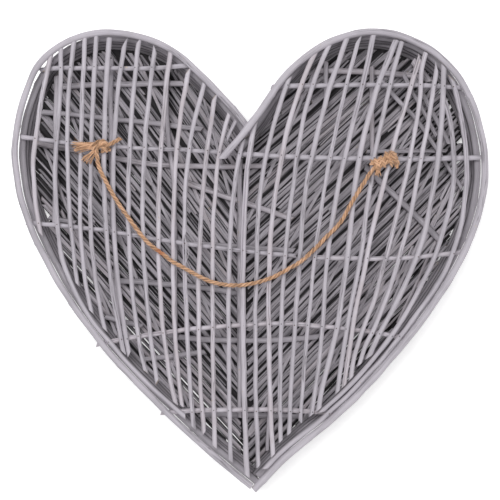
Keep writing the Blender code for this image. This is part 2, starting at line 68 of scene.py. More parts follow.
bl_info = {
    "name": "Wicker heart ornament",
    "version": (1, 0, 0),
    "blender": (4, 5, 0),
    "location": "3D View > Sidebar > Wicker heart",
    "description": "Makes the rods, brads and jute hanger of a willow heart around its solids",
    "category": "Object",
}

MM = 0.001
BODY = "root"
UP = np.array([0.0, 0.0, 1.0])

# The chart: half width and height of the outline between the hoops' centre lines
HALF_SPAN = 246.35 * MM
RISE = 478.7 * MM
# A place on the chart, in thousandths, and the solid whose left end lies there
CHART_PIN = (-389, 164)
PINNED_ROD = "crossbar_5"

# Levels and thicknesses of the sticks that the solids hold several of
STICK = 4.5 * MM
PANEL_FLOOR = 0.3 * MM
TIE_FLOOR = 4.5 * MM
RAIL_DIA = 6.4 * MM
RAIL_FLOOR = 9.3 * MM
POST_DIA = 5.0 * MM
POST_FLOOR = 15.4 * MM
HOOP_DIA = 7.4 * MM
HOOP_SPREAD = 2.6 * MM

# The bend of the left lobe, where the back hoop bulges, and how far round it that reaches
BEND = np.array([-206.0, 219.0]) * MM
BEND_REACH = 48 * MM

# Waves of a rod's stray sideways and upward, of its ribs' drift, of its swelling and of a split's line
SIDE_WAVE, RISE_WAVE, DRIFT_WAVE, SWELL_WAVE, SPLIT_WAVE = (wave * MM for wave in (60, 90, 120, 45, 150))
# A rod's finer forms: how far from its ends it starts to stray, its ribs as heights and turns, its
# swelling, a split's depth and width, and over how many widths a slanted end leans
CALM_END = 12 * MM
RIBS = ((0.5, 2), (0.35, 3), (0.3, 5))
SWELLING = 0.035
SPLIT_DEPTH = 0.6
SPLIT_WIDTH = 0.17
LEAN_WIDTHS = 2.6
# How far ahead of an upright's tip a rod is looked for, and how near it has to lie there
AHEAD = 5 * MM
NEAR = 9 * MM

# Shares of the wash's red, green and blue on the warmer rods, and the colours of the brads
WARM = (1.03, 0.965, 0.92)
STEEL = (0.06, 0.06, 0.065)
RUST = (0.10, 0.05, 0.03)

# The front panel: its seam and, for each half, how far its sticks climb in a thousand across at the
# seam's top and bottom, that top and bottom, and how far up the sticks go on into the lobe. Then
# the most painted shade on the tops of the sticks that show, from where close sticks may stop short,
# where the last one lies, between which shares of the seam they grow thin, and up to which share of
# the height slivers of floor show at the hoop
SEAM = -30
PANEL_SIDES = {
    "left": {"rises": (763, 533), "seam": (706, 12), "top": 1010, "outward": -1,
             "shade": 0.12, "ragged": 0.68, "last": 1.02, "thin": (0.84, 0.9), "slivers": 0.52},
    "right": {"rises": (432, 552), "seam": (832, 12), "top": 1060, "outward": 1,
              "shade": 0.24, "ragged": 0.42, "last": 1.03, "thin": (0.8, 0.86), "slivers": 0.69},
}
# A stick's room along the seam in widths, and how many rooms lie from one stick to the next in
# the close sheet, the thin one, the thicker one and the one that shows
STICK_ROOM = 1.35
CLOSE_PITCH, THIN_PITCH, MIDDLE_PITCH, SHOWING_PITCH = 0.62, 0.8, 1.2, 1.32
TIE_LINE = 565
# The shortest stick that is laid, in millimetres
SHORTEST = 15
# Steep sticks laid over the others: how far they climb in a thousand across, then their middles
# on the chart and their lengths in millimetres
STEEP_CLIMB = 1050
STEEP = {
    "left": [((-640, 420), 75), ((-700, 470), 70), ((-780, 560), 60)],
    "right": [((590, 425), 92), ((640, 455), 84), ((690, 490), 96), ((733, 525), 88), ((775, 560), 90),
              ((812, 592), 78), ((842, 630), 58), ((866, 672), 42), ((520, 380), 80)],
}
# The ties: where each crosses the tie line, and how far it climbs in a thousand across
TIES = {
    "left": [(-760, 1341), (-580, 1274), (-340, 1156), (-170, 1212), (-50, 1921)],
    "right": [(-35, 1156), (200, 891), (460, 968), (650, 1010), (830, 1104)],
}

# Rails and posts nailed on the panel: thickness as a share, then the points
RAILS = {
    "left": [
        (1.0, [(-915, 886), (-650, 893), (-215, 895)]),
        (0.85, [(-960, 834), (-650, 819), (-194, 792)]),
        (0.95, [(-990, 769), (-758, 745), (-433, 716), (-63, 710), (219, 716)]),
        (0.8, [(-960, 602), (-758, 584)]),
        (0.85, [(-259, 537), (2, 528), (197, 521)]),
        (0.95, [(-289, 675), (-76, 637), (188, 591)]),
        (0.95, [(-580, 453), (-215, 438), (45, 414)]),
        (0.9, [(-660, 377), (-461, 350)]),
        (0.9, [(-540, 273), (-185, 295)]),
        (0.9, [(-365, 330), (2, 320), (300, 329)]),
        (0.9, [(-240, 155), (235, 150)]),
    ],
    "right": [
        (0.95, [(241, 925), (545, 920), (825, 905)]),
        (0.65, [(500, 743), (866, 745)]),
        (1.0, [(494, 711), (629, 644), (754, 581), (836, 537)]),
    ],
}
POSTS = {
    "left": [
        (1.0, [(-842, 930), (-846, 770), (-850, 570)]),
        (1.0, [(-604, 950), (-604, 720), (-569, 345)]),
        (1.0, [(-362, 940), (-357, 770), (-349, 730), (-334, 680), (-330, 620), (-328, 450), (-327, 262)]),
        (1.0, [(-46, 725), (-50, 410), (-46, 32)]),
        (0.9, [(80, 198), (71, 49)]),
    ],
    "right": [
        (1.0, [(326, 951), (326, 833)]),
        (1.0, [(525, 935), (525, 655)]),
        (0.95, [(551, 912), (611, 873), (715, 815), (793, 757), (919, 655)]),
        (0.95, [(659, 917), (758, 822), (826, 756)]),
        (0.95, [(703, 912), (867, 752)]),
        (1.4, [(672, 968), (716, 934), (788, 889)]),
    ],
}

# Rods that have split lengthwise: where the split starts and ends, and its angle from the top
SPLITS = {
    "upright_12": (0.43, 0.68, 0),
    "upright_16": (0.05, 0.55, -25),
    "upright_18": (0.52, 0.72, 10),
    "upright_21": (0.02, 0.6, 30),
    "upright_22": (0.0, 0.25, 0),
    "upright_30": (0.0, 0.3, 15),
    "crossbar_4": (0.72, 1.0, -10),
}

# Rods frayed into thin strands: where they start and end as shares of the rod, and how far
# each strand lies to the right at the middle, in millimetres. Then how far the rod itself moves
# to the left there, and how much thinner it is
FRAYS = {"upright_12": (0.43, 0.55, (0.7, 1.6, 2.6, 4.1))}
FRAY_SHIFT = 1.3 * MM
FRAY_THINNING = 0.66

# A brown stain on the rope, and how far it reaches
ROPE_STAIN = (-386, 519)
STAIN_REACH = 4.8 * MM
# The hanger's route across the uprights
ROPE_ROUTE = [(-651, 727), (-643, 703), (-616, 674), (-591, 650), (-552, 617), (-510, 587),
              (-467, 557), (-424, 533), (-381, 517), (-339, 500), (-277, 482), (-214, 464),
              (-150, 451), (-86, 446), (-23, 447), (40, 454), (104, 466), (168, 484), (210, 497),
              (269, 524), (322, 552), (375, 580), (430, 628), (489, 677), (501, 687)]
ROPE_DIA = 4.4 * MM
ROPE_STEP = 0.8 * MM
# The rope in the knots: its thickness and its lay as shares of the rope's
KNOT_GIRTH = 0.96
KNOT_LAY = 0.89

# The brads: the share of crossings that have one, how far heads rise and how deep they are sunk
BRAD_SHARE = 0.8
BRAD_RISE = 0.4 * MM
BRAD_SUNK = 0.05 * MM


# What a user may change

class WillowRods(bpy.types.PropertyGroup):
    """Sizes of the willow rods' finer forms."""

    ring_step: FloatProperty(name="Ring step", description="Distance between a rod's rings",
                             default=2.4 * MM, unit="LENGTH")
    ribs: FloatProperty(name="Ribs", description="Height of the lengthwise ribs as a share of the radius",
                        default=0.055, subtype="FACTOR")
    buds: FloatProperty(name="Bud scars", description="Height of the bud scars as a share of the radius",
                        default=0.16, subtype="FACTOR")
    bud_room: FloatProperty(name="Bud spacing", description="Usual distance from one bud scar to the next",
                            default=52 * MM, unit="LENGTH")
    wander: FloatProperty(name="Wander", description="How far a rod strays from its line",
                          default=0.32 * MM, unit="LENGTH")
    brad_dia: FloatProperty(name="Brad head", description="Diameter of a brad's head",
                            default=1.25 * MM, unit="LENGTH")


class WillowColours(bpy.types.PropertyGroup):
    """Colours of the washed willow."""

    wash: FloatVectorProperty(name="Wash", description="The lilac-grey wash on the rods of the back",
                              default=(0.47, 0.44, 0.485), subtype="COLOR")
    bare: FloatVectorProperty(name="Bare wood", description="Willow where the wash is rubbed off",
                              default=(0.50, 0.40, 0.29), subtype="COLOR")
    grime: FloatVectorProperty(name="Grime", description="Dirt in cracks and around bud scars",
                               default=(0.10, 0.09, 0.10), subtype="COLOR")
    aged: FloatVectorProperty(name="Aged wash", description="The greyer wash inside the heart",
                              default=(0.445, 0.415, 0.455), subtype="COLOR")
    # Painted shade: the near-black laid on the faces marked for it, the tops and sides of the panel's lowest
    # sticks and the sides of rods
    painted_shade: FloatVectorProperty(name="Unwashed bark", description="Dark bark that the wash never reached",
                              default=(0.010, 0.008, 0.010), subtype="COLOR")


class JuteHanger(bpy.types.PropertyGroup):
    """Sizes and colours of the jute hanger."""

    lay: FloatProperty(name="Lay", description="Length of one turn of the strands",
                       default=16 * MM, unit="LENGTH")
    fibres: IntProperty(name="Fibres", description="Number of loose fibres along the rope", default=650,
                        min=0)
    light: FloatVectorProperty(name="Jute", description="Jute where the light falls",
                               default=(0.57, 0.325, 0.185), subtype="COLOR")
    # The dark jute serves the darker mottles, and, darkened further, the painted shade in the grooves between
    # the strands
    dark: FloatVectorProperty(name="Dark jute", description="Jute between the strands",
                              default=(0.20, 0.10, 0.045), subtype="COLOR")
    stain: FloatVectorProperty(name="Stain", description="The brown stain on the rope",
                               default=(0.38, 0.12, 0.04), subtype="COLOR")


class HeartStage(bpy.types.PropertyGroup):
    """The camera, the floor and the light."""

    distance: FloatProperty(name="Camera distance", description="From the back of the heart to the camera",
                            default=1.2, unit="LENGTH")
    view_width: FloatProperty(name="View width", description="How much the view takes in at the heart's back",
                              default=523.2 * MM, unit="LENGTH")
    floor: FloatVectorProperty(name="Floor", description="Colour of the floor", default=(0.93, 0.93, 0.93),
                               subtype="COLOR")
    glow: FloatProperty(name="Floor glow",
                        description="Light of the floor itself, which thins the shadows on it",
                        default=0.35, min=0.0)
    softbox: FloatProperty(name="Softbox", description="Power of the large light above", default=34,
                           unit="POWER")


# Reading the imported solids

def merged(name):
    """Corners and triangles of a solid, with each corner stored once."""
    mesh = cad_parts[name].data
    corners = np.empty(len(mesh.vertices) * 3)
    mesh.vertices.foreach_get("co", corners)
    loops = np.empty(len(mesh.loops), int)
    mesh.loops.foreach_get("vertex_index", loops)
    points, index = np.unique(corners.reshape(-1, 3).round(6), axis=0, return_inverse=True)
    return points, index.ravel()[loops].reshape(-1, 3)


def rod_rows(name):
    """Centre and thickness of each ring of a solid rod, as rows of x, y, z and width.

    A rod's flat ends are its only upright faces. From one end, each step along the edges
    reaches the next ring, whose mean is its centre and whose height is its thickness. The
    rows run downward, or to the right for a rod that lies more across than upright.
    """
    points, triangles = merged(name)
    a, b, c = (points[triangles[:, k]] for k in range(3))
    facing = unit(np.cross(b - a, c - a))
    ends = triangles[np.abs(facing[:, 2]) < 0.3]
    ring = np.isin(np.arange(len(points)), ends[0])
    for _ in range(len(ends)):
        ring[ends[ring[ends].any(1)]] = True
    linked = np.zeros((len(points), len(points)), bool)
    for k in range(3):
        linked[triangles[:, k], triangles[:, k - 1]] = True
    linked |= linked.T
    seen = np.zeros(len(points), bool)
    rows = []
    while ring.any():
        rows.append([*points[ring].mean(0), np.ptp(points[ring, 2])])
        seen |= ring
        ring = linked[ring].any(0) & ~seen
    rows = np.array(rows)
    upright = np.ptp(rows[:, 1]) > np.ptp(rows[:, 0])
    in_order = rows[0, 1] > rows[-1, 1] if upright else rows[0, 0] < rows[-1, 0]
    return rows if in_order else rows[::-1]


# Lines

def unit(vectors):
    """Each row scaled to length one."""
    return vectors / np.maximum(np.linalg.norm(vectors, axis=-1, keepdims=True), 1e-12)


def soft_step(value):
    """Zero up to zero, one from one on, and between them 3 times the square less 2 times the cube."""
    value = np.clip(value, 0, 1)
    return value * value * (3 - 2 * value)


def directions(line, above=UP):
    """Heading of a line at each of its points, and the directions to its right and upward."""
    heading = unit(np.gradient(line, axis=0))
    side = unit(np.cross(heading, above))
    return heading, side, np.cross(side, heading)


def ring_angles(sides):
    """The angles of a ring's corners, from its lowest corner on."""
    return 2 * np.pi * np.arange(sides) / sides - np.pi / 2


def spokes(angle, side, up):
    """Directions from a line's points to a ring's corners: the cosine to its right plus the sine upward."""
    return np.cos(angle)[:, None] * side[:, None] + np.sin(angle)[:, None] * up[:, None]


def distances(line):
    """Distance along a line at each of its points."""
    return np.concatenate([[0.0], np.cumsum(np.linalg.norm(np.diff(line, axis=0), axis=1))])


def spline(rows, step):
    """A smooth curve through the rows of an array, sampled about a step apart.

    Between two rows it is the cubic that has both rows' values and slopes. The slopes
    are those of the parabola through three neighbours, over the straight distances.
    """
    at = distances(rows[:, :3])
    slopes = np.gradient(rows, at, axis=0, edge_order=2 if len(rows) > 2 else 1)
    marks = np.linspace(0, at[-1], max(int(round(at[-1] / step)), 2) + 1)
    k = np.clip(np.searchsorted(at, marks, side="right") - 1, 0, len(rows) - 2)
    span = (at[k + 1] - at[k])[:, None]
    t = (marks - at[k])[:, None] / span
    return ((1 + 2 * t) * (1 - t) ** 2 * rows[k] + t * (1 - t) ** 2 * span * slopes[k]
            + t * t * (3 - 2 * t) * rows[k + 1] + t * t * (t - 1) * span * slopes[k + 1])


def wander(along, rng, wave, size):
    """A slow random line: four cosines of random phase, their waves about that long, averaged."""
    waves = wave * rng.uniform(0.6, 1.8, 4)
    phases = rng.uniform(0, 2 * np.pi, 4)
    return size * np.cos(2 * np.pi * along[:, None] / waves + phases).mean(1) * 1.6


def hoop_line(number):
    """The plan line of a side hoop: down its left rod and up its right one."""
    left, right = (rod_rows(f"rim_{number}_{side}")[:, :2] for side in ("left", "right"))
    return np.vstack([left, right[::-1]])


def rng_of(name):
    """A random generator that is the same each run for each name."""
    return np.random.default_rng(zlib.crc32(name.encode()))


def chart_place(points):
    """Plan places in metres from thousandths of the chart."""
    pin = rod_rows(PINNED_ROD)[0, :2]
    return (np.asarray(points, float) - CHART_PIN) / 1000 * [HALF_SPAN, RISE] + pin


def inside(points, shape):
    """True for each point inside a closed outline, by counting the edges to its right."""
    x, y = points[:, 0][:, None], points[:, 1][:, None]
    ax, ay = shape.T
    bx, by = np.roll(shape, -1, axis=0).T
    spans = (ay > y) != (by > y)
    at = ax + (y - ay) * (bx - ax) / np.where(by == ay, 1, by - ay)
    return (spans & (at > x)).sum(1) % 2 == 1


def room(points, line):
    """Distance of each point to a line."""
    a, run = line[:-1], np.diff(line, axis=0)
    away = points[:, None] - a[None]
    share = np.clip((away * run).sum(2) / (run * run).sum(1), 0, 1)
    return np.linalg.norm(away - share[..., None] * run, axis=2).min(1)


# Meshes

def tube(points, along, girth, tint, cut=0.0):
    """One closed tube from its rings: corners, faces, flat coordinates and face values.

    Corner (i, j) is the j-th of ring i. Each side face joins two rings, and each end is a fan
    round the ring's mean. The flat coordinates are metres round the rod and along it. Three
    values go with the faces: tint, which differs from rod to rod, cut, which marks the cut ends
    of willow and the stain on jute, and a third, which marks where shade is painted: near-black
    on willow, and darker jute in the grooves between the strands.
    """
    n, m = points.shape[:2]
    ring = np.arange(m)
    after = (ring + 1) % m
    start = m * np.arange(n - 1)[:, None]
    base = (n - 1) * m
    quads = np.stack([start + ring, start + m + ring, start + m + after, start + after], axis=-1)
    around = np.stack([ring, ring, ring + 1, ring + 1], axis=-1) / m * girth
    length = np.stack([along[:-1], along[1:], along[1:], along[:-1]], axis=-1)[:, None]
    middle = np.full(m, n * m)
    fans = np.stack([middle, ring, after, middle + 1, base + after, base + ring]).reshape(2, 3, m)
    angle = 2 * np.pi * np.stack([ring, after], axis=1) / m
    rim = girth / (2 * np.pi) * np.stack([np.cos(angle), np.sin(angle)], axis=-1)
    fan_flat = np.concatenate([np.zeros((m, 1, 2)), rim], axis=1)
    flat = (np.stack(np.broadcast_arrays(around, length), axis=-1), fan_flat, fan_flat[:, [0, 2, 1]])
    faces = [base, 2 * m]
    return {
        "corners": np.vstack([points.reshape(-1, 3), points[[0, -1]].mean(1)]),
        "loops": [quads.ravel(), fans.transpose(0, 2, 1).ravel()],
        "sizes": np.repeat([4, 3], faces),
        "flat": np.vstack([part.reshape(-1, 2) for part in flat]),
        "tint": np.full(sum(faces), tint),
        "cut": np.repeat([0.0, cut], faces),
        "painted_shade": np.zeros(sum(faces)),
    }


def make_piece(name, tubes, finish, stands_for=(), ridge=40):
    """Makes one object of several tubes, with its finish, that rides on the body."""
    offsets = np.cumsum([0] + [len(t["corners"]) for t in tubes])
    corners = np.vstack([t["corners"] for t in tubes])
    loops = np.concatenate([part + start for t, start in zip(tubes, offsets) for part in t["loops"]])
    sizes = np.concatenate([t["sizes"] for t in tubes])
    mesh = bpy.data.meshes.new(name)
    mesh.vertices.add(len(corners))
    mesh.vertices.foreach_set("co", corners.ravel())
    mesh.loops.add(len(loops))
    mesh.loops.foreach_set("vertex_index", loops)
    mesh.polygons.add(len(sizes))
    mesh.polygons.foreach_set("loop_start", np.concatenate([[0], np.cumsum(sizes)[:-1]]))
    mesh.update(calc_edges=True)
    flat = mesh.uv_layers.new(name="grain")
    flat.data.foreach_set("uv", np.vstack([t["flat"] for t in tubes]).ravel())
    for label in ("tint", "cut", "painted_shade"):
        values = mesh.attributes.new(label, "FLOAT", "FACE")
        values.data.foreach_set("value", np.concatenate([t[label] for t in tubes]))
    mesh.validate()
    mesh.shade_smooth()
    mesh.set_sharp_from_angle(angle=math.radians(ridge))
    mesh.materials.append(finish)
    made = bpy.data.objects.new(name, mesh)
    bpy.context.scene.collection.objects.link(made)
    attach(made, BODY)
    if stands_for:
        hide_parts(*stands_for)
    return made


def willow_rod(rows, rng, sides, slants, split=None, step=None, rough=1.0,
               meets=(None, None), tones=(0.0, 1.0), painted_shade_shares=(0.0, 0.0)):
    """One willow rod as a tube.

    Each ring is a circle of half the rod's width, times one plus its relief. The relief is
    lengthwise ribs, cosines of two, three and five turns whose phases drift along the rod,
    a slow swelling, and bud scars, which fade as a bell curve along and around. A split is
    a narrow groove. Near each end the rings lean: a corner is pulled back along the rod by
    its distance from the leading side, so that the end face is a slanted cut. An end that
    meets another rod is cut along it instead: a corner goes forward by its distance across
    from the side that is met first, times the slope of the other rod. The two shares of
    painted shade, near-black laid over the wash, are for the faces that look up and for the
    sides; the faces that look down get none.
    """
    rods = bpy.context.scene.willow_rods
    path = spline(rows, step or rods.ring_step)
    centre, width = path[:, :3], path[:, 3]
    along = distances(centre)
    span = along[-1]
    heading, side, up = directions(centre)
    calm = np.clip(np.minimum(along, span - along) / CALM_END, 0, 1)[:, None]
    stray = rods.wander * rough
    centre = centre + calm * (side * wander(along, rng, SIDE_WAVE, stray)[:, None]
                              + up * wander(along, rng, RISE_WAVE, 0.3 * stray)[:, None])
    angle = ring_angles(sides)
    relief = np.zeros((len(path), sides))
    for height, turns in RIBS:
        phase = wander(along, rng, DRIFT_WAVE, 1.4)[:, None] + rng.uniform(0, 6)
        relief += rods.ribs * rough * height * np.cos(turns * angle + phase)
    relief += SWELLING * wander(along, rng, SWELL_WAVE, 1)[:, None]
    for place in np.arange(rng.uniform(0.2, 0.8) * rods.bud_room, span, rods.bud_room):
        place += rng.uniform(-0.3, 0.3) * rods.bud_room
        facing = rng.uniform(0, 2 * np.pi)
        height = rods.buds * rng.uniform(0.3, 1.0) * rough
        bell = np.exp(-((along - place) / (rng.uniform(1.4, 2.8) * MM)) ** 2)[:, None]
        relief += height * bell * (0.25 + np.exp(1.6 * (np.cos(angle - facing) - 1)))
    if split:
        begin, end, turn = split
        share = (along / span)[:, None]
        opened = np.clip(np.minimum(share - begin, end - share) / 0.04, 0, 1)
        line = math.radians(90 + turn) + 0.35 * wander(along, rng, SPLIT_WAVE, 1)[:, None]
        off = (angle - line + np.pi) % (2 * np.pi) - np.pi
        relief -= SPLIT_DEPTH * opened * np.exp(-(off / SPLIT_WIDTH) ** 2)
    points = centre[:, None] + spokes(angle, side, up) * (width[:, None] / 2 * (1 + relief))[..., None]
    for end, way, slant, met in ((0, 1, slants[0], meets[0]), (-1, -1, slants[1], meets[1])):
        soft = soft_step(1 - np.abs(along - along[end]) / (LEAN_WIDTHS * width * max(slant, 0.4)))
        lead = rng.choice([0.0, np.pi]) + rng.uniform(-0.5, 0.5)
        if met is None:
            ahead = way * slant * (1 - np.cos(angle - lead))
        else:
            lean = float(np.clip((met @ heading[end, :2]) / (met @ side[end, :2]), -1.6, 1.6))
            ahead = lean * np.cos(angle) - way * abs(lean)
        points += heading[:, None] * ((width / 2 * soft)[:, None] * ahead)[..., None]
    points[..., 2] = np.maximum(points[..., 2], 0.0)
    made = tube(points, along, np.pi * width.mean(), rng.uniform(*tones), 1.0)
    made["flat"] += rng.uniform(0, 3, 2)
    # Painted shade: the faces that look up and the sides get their shares of near-black, those that look down
    # none
    facing_up = np.sin(angle + np.pi / sides)
    painted_shade = np.interp(facing_up, (-0.6, -0.3, 0.35, 0.6), (0.0, painted_shade_shares[1], painted_shade_shares[1], painted_shade_shares[0]))
    made["painted_shade"][:(len(points) - 1) * sides] = np.tile(painted_shade, len(points) - 1)
    return made


# Finishes

def node(tree, kind, inputs=None, **values):
    """Adds a node with its settings, and sets or links its inputs."""
    made = tree.nodes.new(kind)
    for key, value in values.items():
        setattr(made, key, value)
    for key, value in (inputs or {}).items():
        if isinstance(value, bpy.types.NodeSocket):
            tree.links.new(value, made.inputs[key])
        else:
            made.inputs[key].default_value = value
    return made


def times(tree, first, second):
    """The product of two values."""
    return node(tree, "ShaderNodeMath", {0: first, 1: second}, operation="MULTIPLY").outputs[0]


def plus(tree, first, second):
    """The sum of two values."""
    return node(tree, "ShaderNodeMath", {0: first, 1: second}, operation="ADD").outputs[0]


def less(tree, first, second):
    """One value less another."""
    return node(tree, "ShaderNodeMath", {0: first, 1: second}, operation="SUBTRACT").outputs[0]


def ramp(tree, value, low, high, from_value=0.0, to_value=1.0, way="SMOOTHSTEP"):
    """A value mapped from one range to another and held there, as a soft step or in a line."""
    return node(tree, "ShaderNodeMapRange", {"Value": value, "From Min": low, "From Max": high,
                                             "To Min": from_value, "To Max": to_value},
                interpolation_type=way).outputs["Result"]


def noise(tree, place, scale, **more):
    """The value of a Noise Texture node."""
    return node(tree, "ShaderNodeTexNoise", {"Vector": place, "Scale": scale, **more}).outputs["Fac"]


def face_value(tree, label):
    """A value that is kept with the faces."""
    return node(tree, "ShaderNodeAttribute", attribute_name=label).outputs["Fac"]


def coated(tree, base, *coats):
    """A colour with others laid over it in turn, each by its own share."""
    for share, over in coats:
        base = node(tree, "ShaderNodeMix", {"Factor": share, "A": base, "B": colour(over)},
                    data_type="RGBA").outputs["Result"]
    return base


def colour(value):
    """A colour with its alpha."""
    return (*value, 1.0)


def make_group(name, inputs, outputs):
    """An empty node group that has named sockets, with what it is given and what it puts out."""
    group = bpy.data.node_groups.new(name, "ShaderNodeTree")
    for label, value in inputs.items():
        socket = group.interface.new_socket(label, in_out="INPUT", socket_type="NodeSocketFloat")
        socket.default_value = value
    for label in outputs:
        group.interface.new_socket(label, in_out="OUTPUT", socket_type="NodeSocketFloat")
    return group, group.nodes.new("NodeGroupInput").outputs, group.nodes.new("NodeGroupOutput").inputs


def grain_group():
    """Lengthwise grain: streaks, thin dark cracks and their relief, from the flat coordinates."""
    tree, given, result = make_group(
        "Lengthwise grain", {"Streaks per metre": 1300.0, "Stretch": 0.035, "Crack width": 0.03},
        ("Streaks", "Cracks", "Height"))
    flat = node(tree, "ShaderNodeUVMap", uv_map="grain").outputs["UV"]
    scale = node(tree, "ShaderNodeCombineXYZ", {"X": 1.0, "Y": given["Stretch"], "Z": 1.0}).outputs[0]
    drawn = node(tree, "ShaderNodeVectorMath", {0: flat, 1: scale}, operation="MULTIPLY").outputs[0]
    streaks = noise(tree, drawn, given["Streaks per metre"], Detail=4.0, Roughness=0.6)
    veins = noise(tree, drawn, times(tree, given["Streaks per metre"], 0.32), Detail=2.0, Distortion=0.4)
    from_vein = node(tree, "ShaderNodeMath", {0: less(tree, veins, 0.5)}, operation="ABSOLUTE").outputs[0]
    thin = ramp(tree, from_vein, 0.0, given["Crack width"], 1.0, 0.0, "LINEAR")
    patch = noise(tree, drawn, 160.0, Detail=1.0)
    cracks = times(tree, thin, ramp(tree, patch, 0.5, 0.62))
    height = less(tree, streaks, times(tree, cracks, 1.2))
    for label, value in (("Streaks", streaks), ("Cracks", cracks), ("Height", height)):
        tree.links.new(value, result[label])


def weather_group():
    """Weather: slow patches, small chips and specks of grime, from the object's own space."""
    tree, given, result = make_group(
        "Weather", {"Patch size": 28.0, "Chips": 0.5, "Specks": 0.5}, ("Patches", "Chips", "Specks"))
    place = node(tree, "ShaderNodeTexCoord").outputs["Object"]
    tree.links.new(noise(tree, place, given["Patch size"], Detail=3.0), result["Patches"])
    for label, scale, most, edge in (("Chips", 210.0, 0.58, 0.03), ("Specks", 900.0, 0.55, 0.06)):
        line = ramp(tree, given[label], 0.0, 1.0, 0.8, most, "LINEAR")
        over = less(tree, noise(tree, place, scale, Detail=2.0), line)
        tree.links.new(ramp(tree, over, 0.0, edge), result[label])


def place_group(tree, group, **values):
    """Places a shared group in a material with its own values."""
    made = tree.nodes.new("ShaderNodeGroup")
    made.node_tree = bpy.data.node_groups[group]
    for label, value in values.items():
        made.inputs[label.replace("_", " ")].default_value = value
    return made.outputs


def new_finish(name):
    """A new material, its node tree and the inputs of its shader."""
    made = bpy.data.materials.new(name)
    made.use_nodes = True
    return made, made.node_tree, made.node_tree.nodes["Principled BSDF"].inputs


def mottling(tree, grain, weather, shares):
    """Lightness from shares of the grain, of the patches and of each rod's own tint."""
    own = less(tree, face_value(tree, "tint"), 0.5)
    shade = plus(tree, times(tree, grain["Streaks"], shares[0]), times(tree, weather["Patches"], shares[1]))
    return plus(tree, shade, times(tree, own, shares[2]))


def set_shader(tree, shader, base, rough, relief, strength, distance):
    """Gives the shader its colour, its roughness and the relief in its normals."""
    bump = node(tree, "ShaderNodeBump", {"Height": relief, "Strength": strength, "Distance": distance})
    for label, value in (("Base Color", base), ("Roughness", rough), ("Normal", bump.outputs["Normal"])):
        tree.links.new(value, shader[label])


def willow_finish(name, colours, wash, wear, contrast, cut_shade):
    """Washed willow: grain and patches in the wash, bare wood at chips and ends, grime in cracks, painted
    shade where marked.
    """
    made, tree, shader = new_finish(name)
    grain = place_group(tree, "Lengthwise grain", Crack_width=0.035)
    weather = place_group(tree, "Weather", Chips=wear, Specks=0.45)
    warm = tuple(c * share for c, share in zip(wash, WARM))
    light = tuple(min(1.0, c * (1 + 0.75 * contrast)) for c in wash)
    dark = tuple(c * (1 - 0.8 * contrast) for c in wash)
    end_wood = tuple(c * cut_shade for c in colours.bare)
    shade = mottling(tree, grain, weather, (0.55, 0.45, 0.16))
    bare = times(tree, weather["Chips"], ramp(tree, grain["Streaks"], 0.4, 0.56))
    dirt = node(tree, "ShaderNodeMath", {0: times(tree, grain["Cracks"], 0.85),
                                         1: times(tree, weather["Specks"], 0.4)}, operation="MAXIMUM")
    base = coated(tree, colour(wash),
                  (ramp(tree, face_value(tree, "tint"), 0.6, 1.0, 0.0, 0.6), warm),
                  (ramp(tree, shade, 0.5, 0.66), light),
                  (ramp(tree, shade, 0.5, 0.34), dark),
                  (times(tree, bare, 0.8), colours.bare),
                  (times(tree, face_value(tree, "cut"), 0.6), end_wood),
                  (dirt.outputs[0], colours.grime),
                  # Painted shade: near-black on the faces that are marked for it
                  (face_value(tree, "painted_shade"), colours.painted_shade))
    set_shader(tree, shader, base, ramp(tree, shade, 0.3, 0.7, 0.9, 0.66), grain["Height"], 0.55, 0.35 * MM)
    return made


def jute_finish(name, jute):
    """Twisted jute: fine fibre streaks along the strands, painted shade in the grooves, a stain and a soft
    sheen.
    """
    made, tree, shader = new_finish(name)
    shader["Sheen Weight"].default_value = 0.25
    shader["Sheen Roughness"].default_value = 0.6
    grain = place_group(tree, "Lengthwise grain", Streaks_per_metre=3600.0, Stretch=0.06, Crack_width=0.02)
    weather = place_group(tree, "Weather", Patch_size=40.0, Chips=0.2, Specks=0.4)
    pale = tuple(min(1.0, c * 1.2 + 0.05) for c in jute.light)
    # Painted shade for the grooves between the strands: the dark jute, darker still
    groove = tuple(0.6 * c for c in jute.dark)
    shade = mottling(tree, grain, weather, (0.7, 0.3, 0.2))
    base = coated(tree, colour(jute.light),
                  (ramp(tree, shade, 0.46, 0.66), pale),
                  (ramp(tree, shade, 0.5, 0.32), jute.dark),
                  (times(tree, ramp(tree, weather["Patches"], 0.6, 0.7), 0.5), jute.dark),
                  (face_value(tree, "painted_shade"), groove),
                  (face_value(tree, "cut"), jute.stain))
    set_shader(tree, shader, base, ramp(tree, shade, 0.3, 0.7, 0.95, 0.8), grain["Height"], 0.6, 0.25 * MM)
    return made


def brad_finish(name):
    """Dull steel brad heads, browned by rust in places."""
    made, tree, shader = new_finish(name)
    shader["Metallic"].default_value = 0.7
    patches = place_group(tree, "Weather", Patch_size=60.0)["Patches"]
    base = coated(tree, colour(STEEL), (ramp(tree, patches, 0.45, 0.6), RUST))
    tree.links.new(base, shader["Base Color"])
    tree.links.new(ramp(tree, patches, 0.4, 0.6, 0.45, 0.7), shader["Roughness"])
    return made


def finish(name):
    """A shared finish by name, made the first time that it is asked for."""
    scene = bpy.context.scene
    colours = scene.heart_colours
    for group, build in (("Lengthwise grain", grain_group), ("Weather", weather_group)):
        if group not in bpy.data.node_groups:
            build()
    if name in bpy.data.materials:
        return bpy.data.materials[name]
    between = tuple(0.45 * (a + b) for a, b in zip(colours.wash, colours.aged))
    willow = {
        "washed willow": (colours.wash, 0.30, 0.22, 0.9),
        "aged willow": (colours.aged, 0.34, 0.34, 0.6),
        "side hoop willow": (between, 0.30, 0.28, 0.8),
    }
    if name in willow:
        return willow_finish(name, colours, *willow[name])
    return jute_finish(name, scene.jute_hanger) if name == "twisted jute" else brad_finish(name)


# Pieces

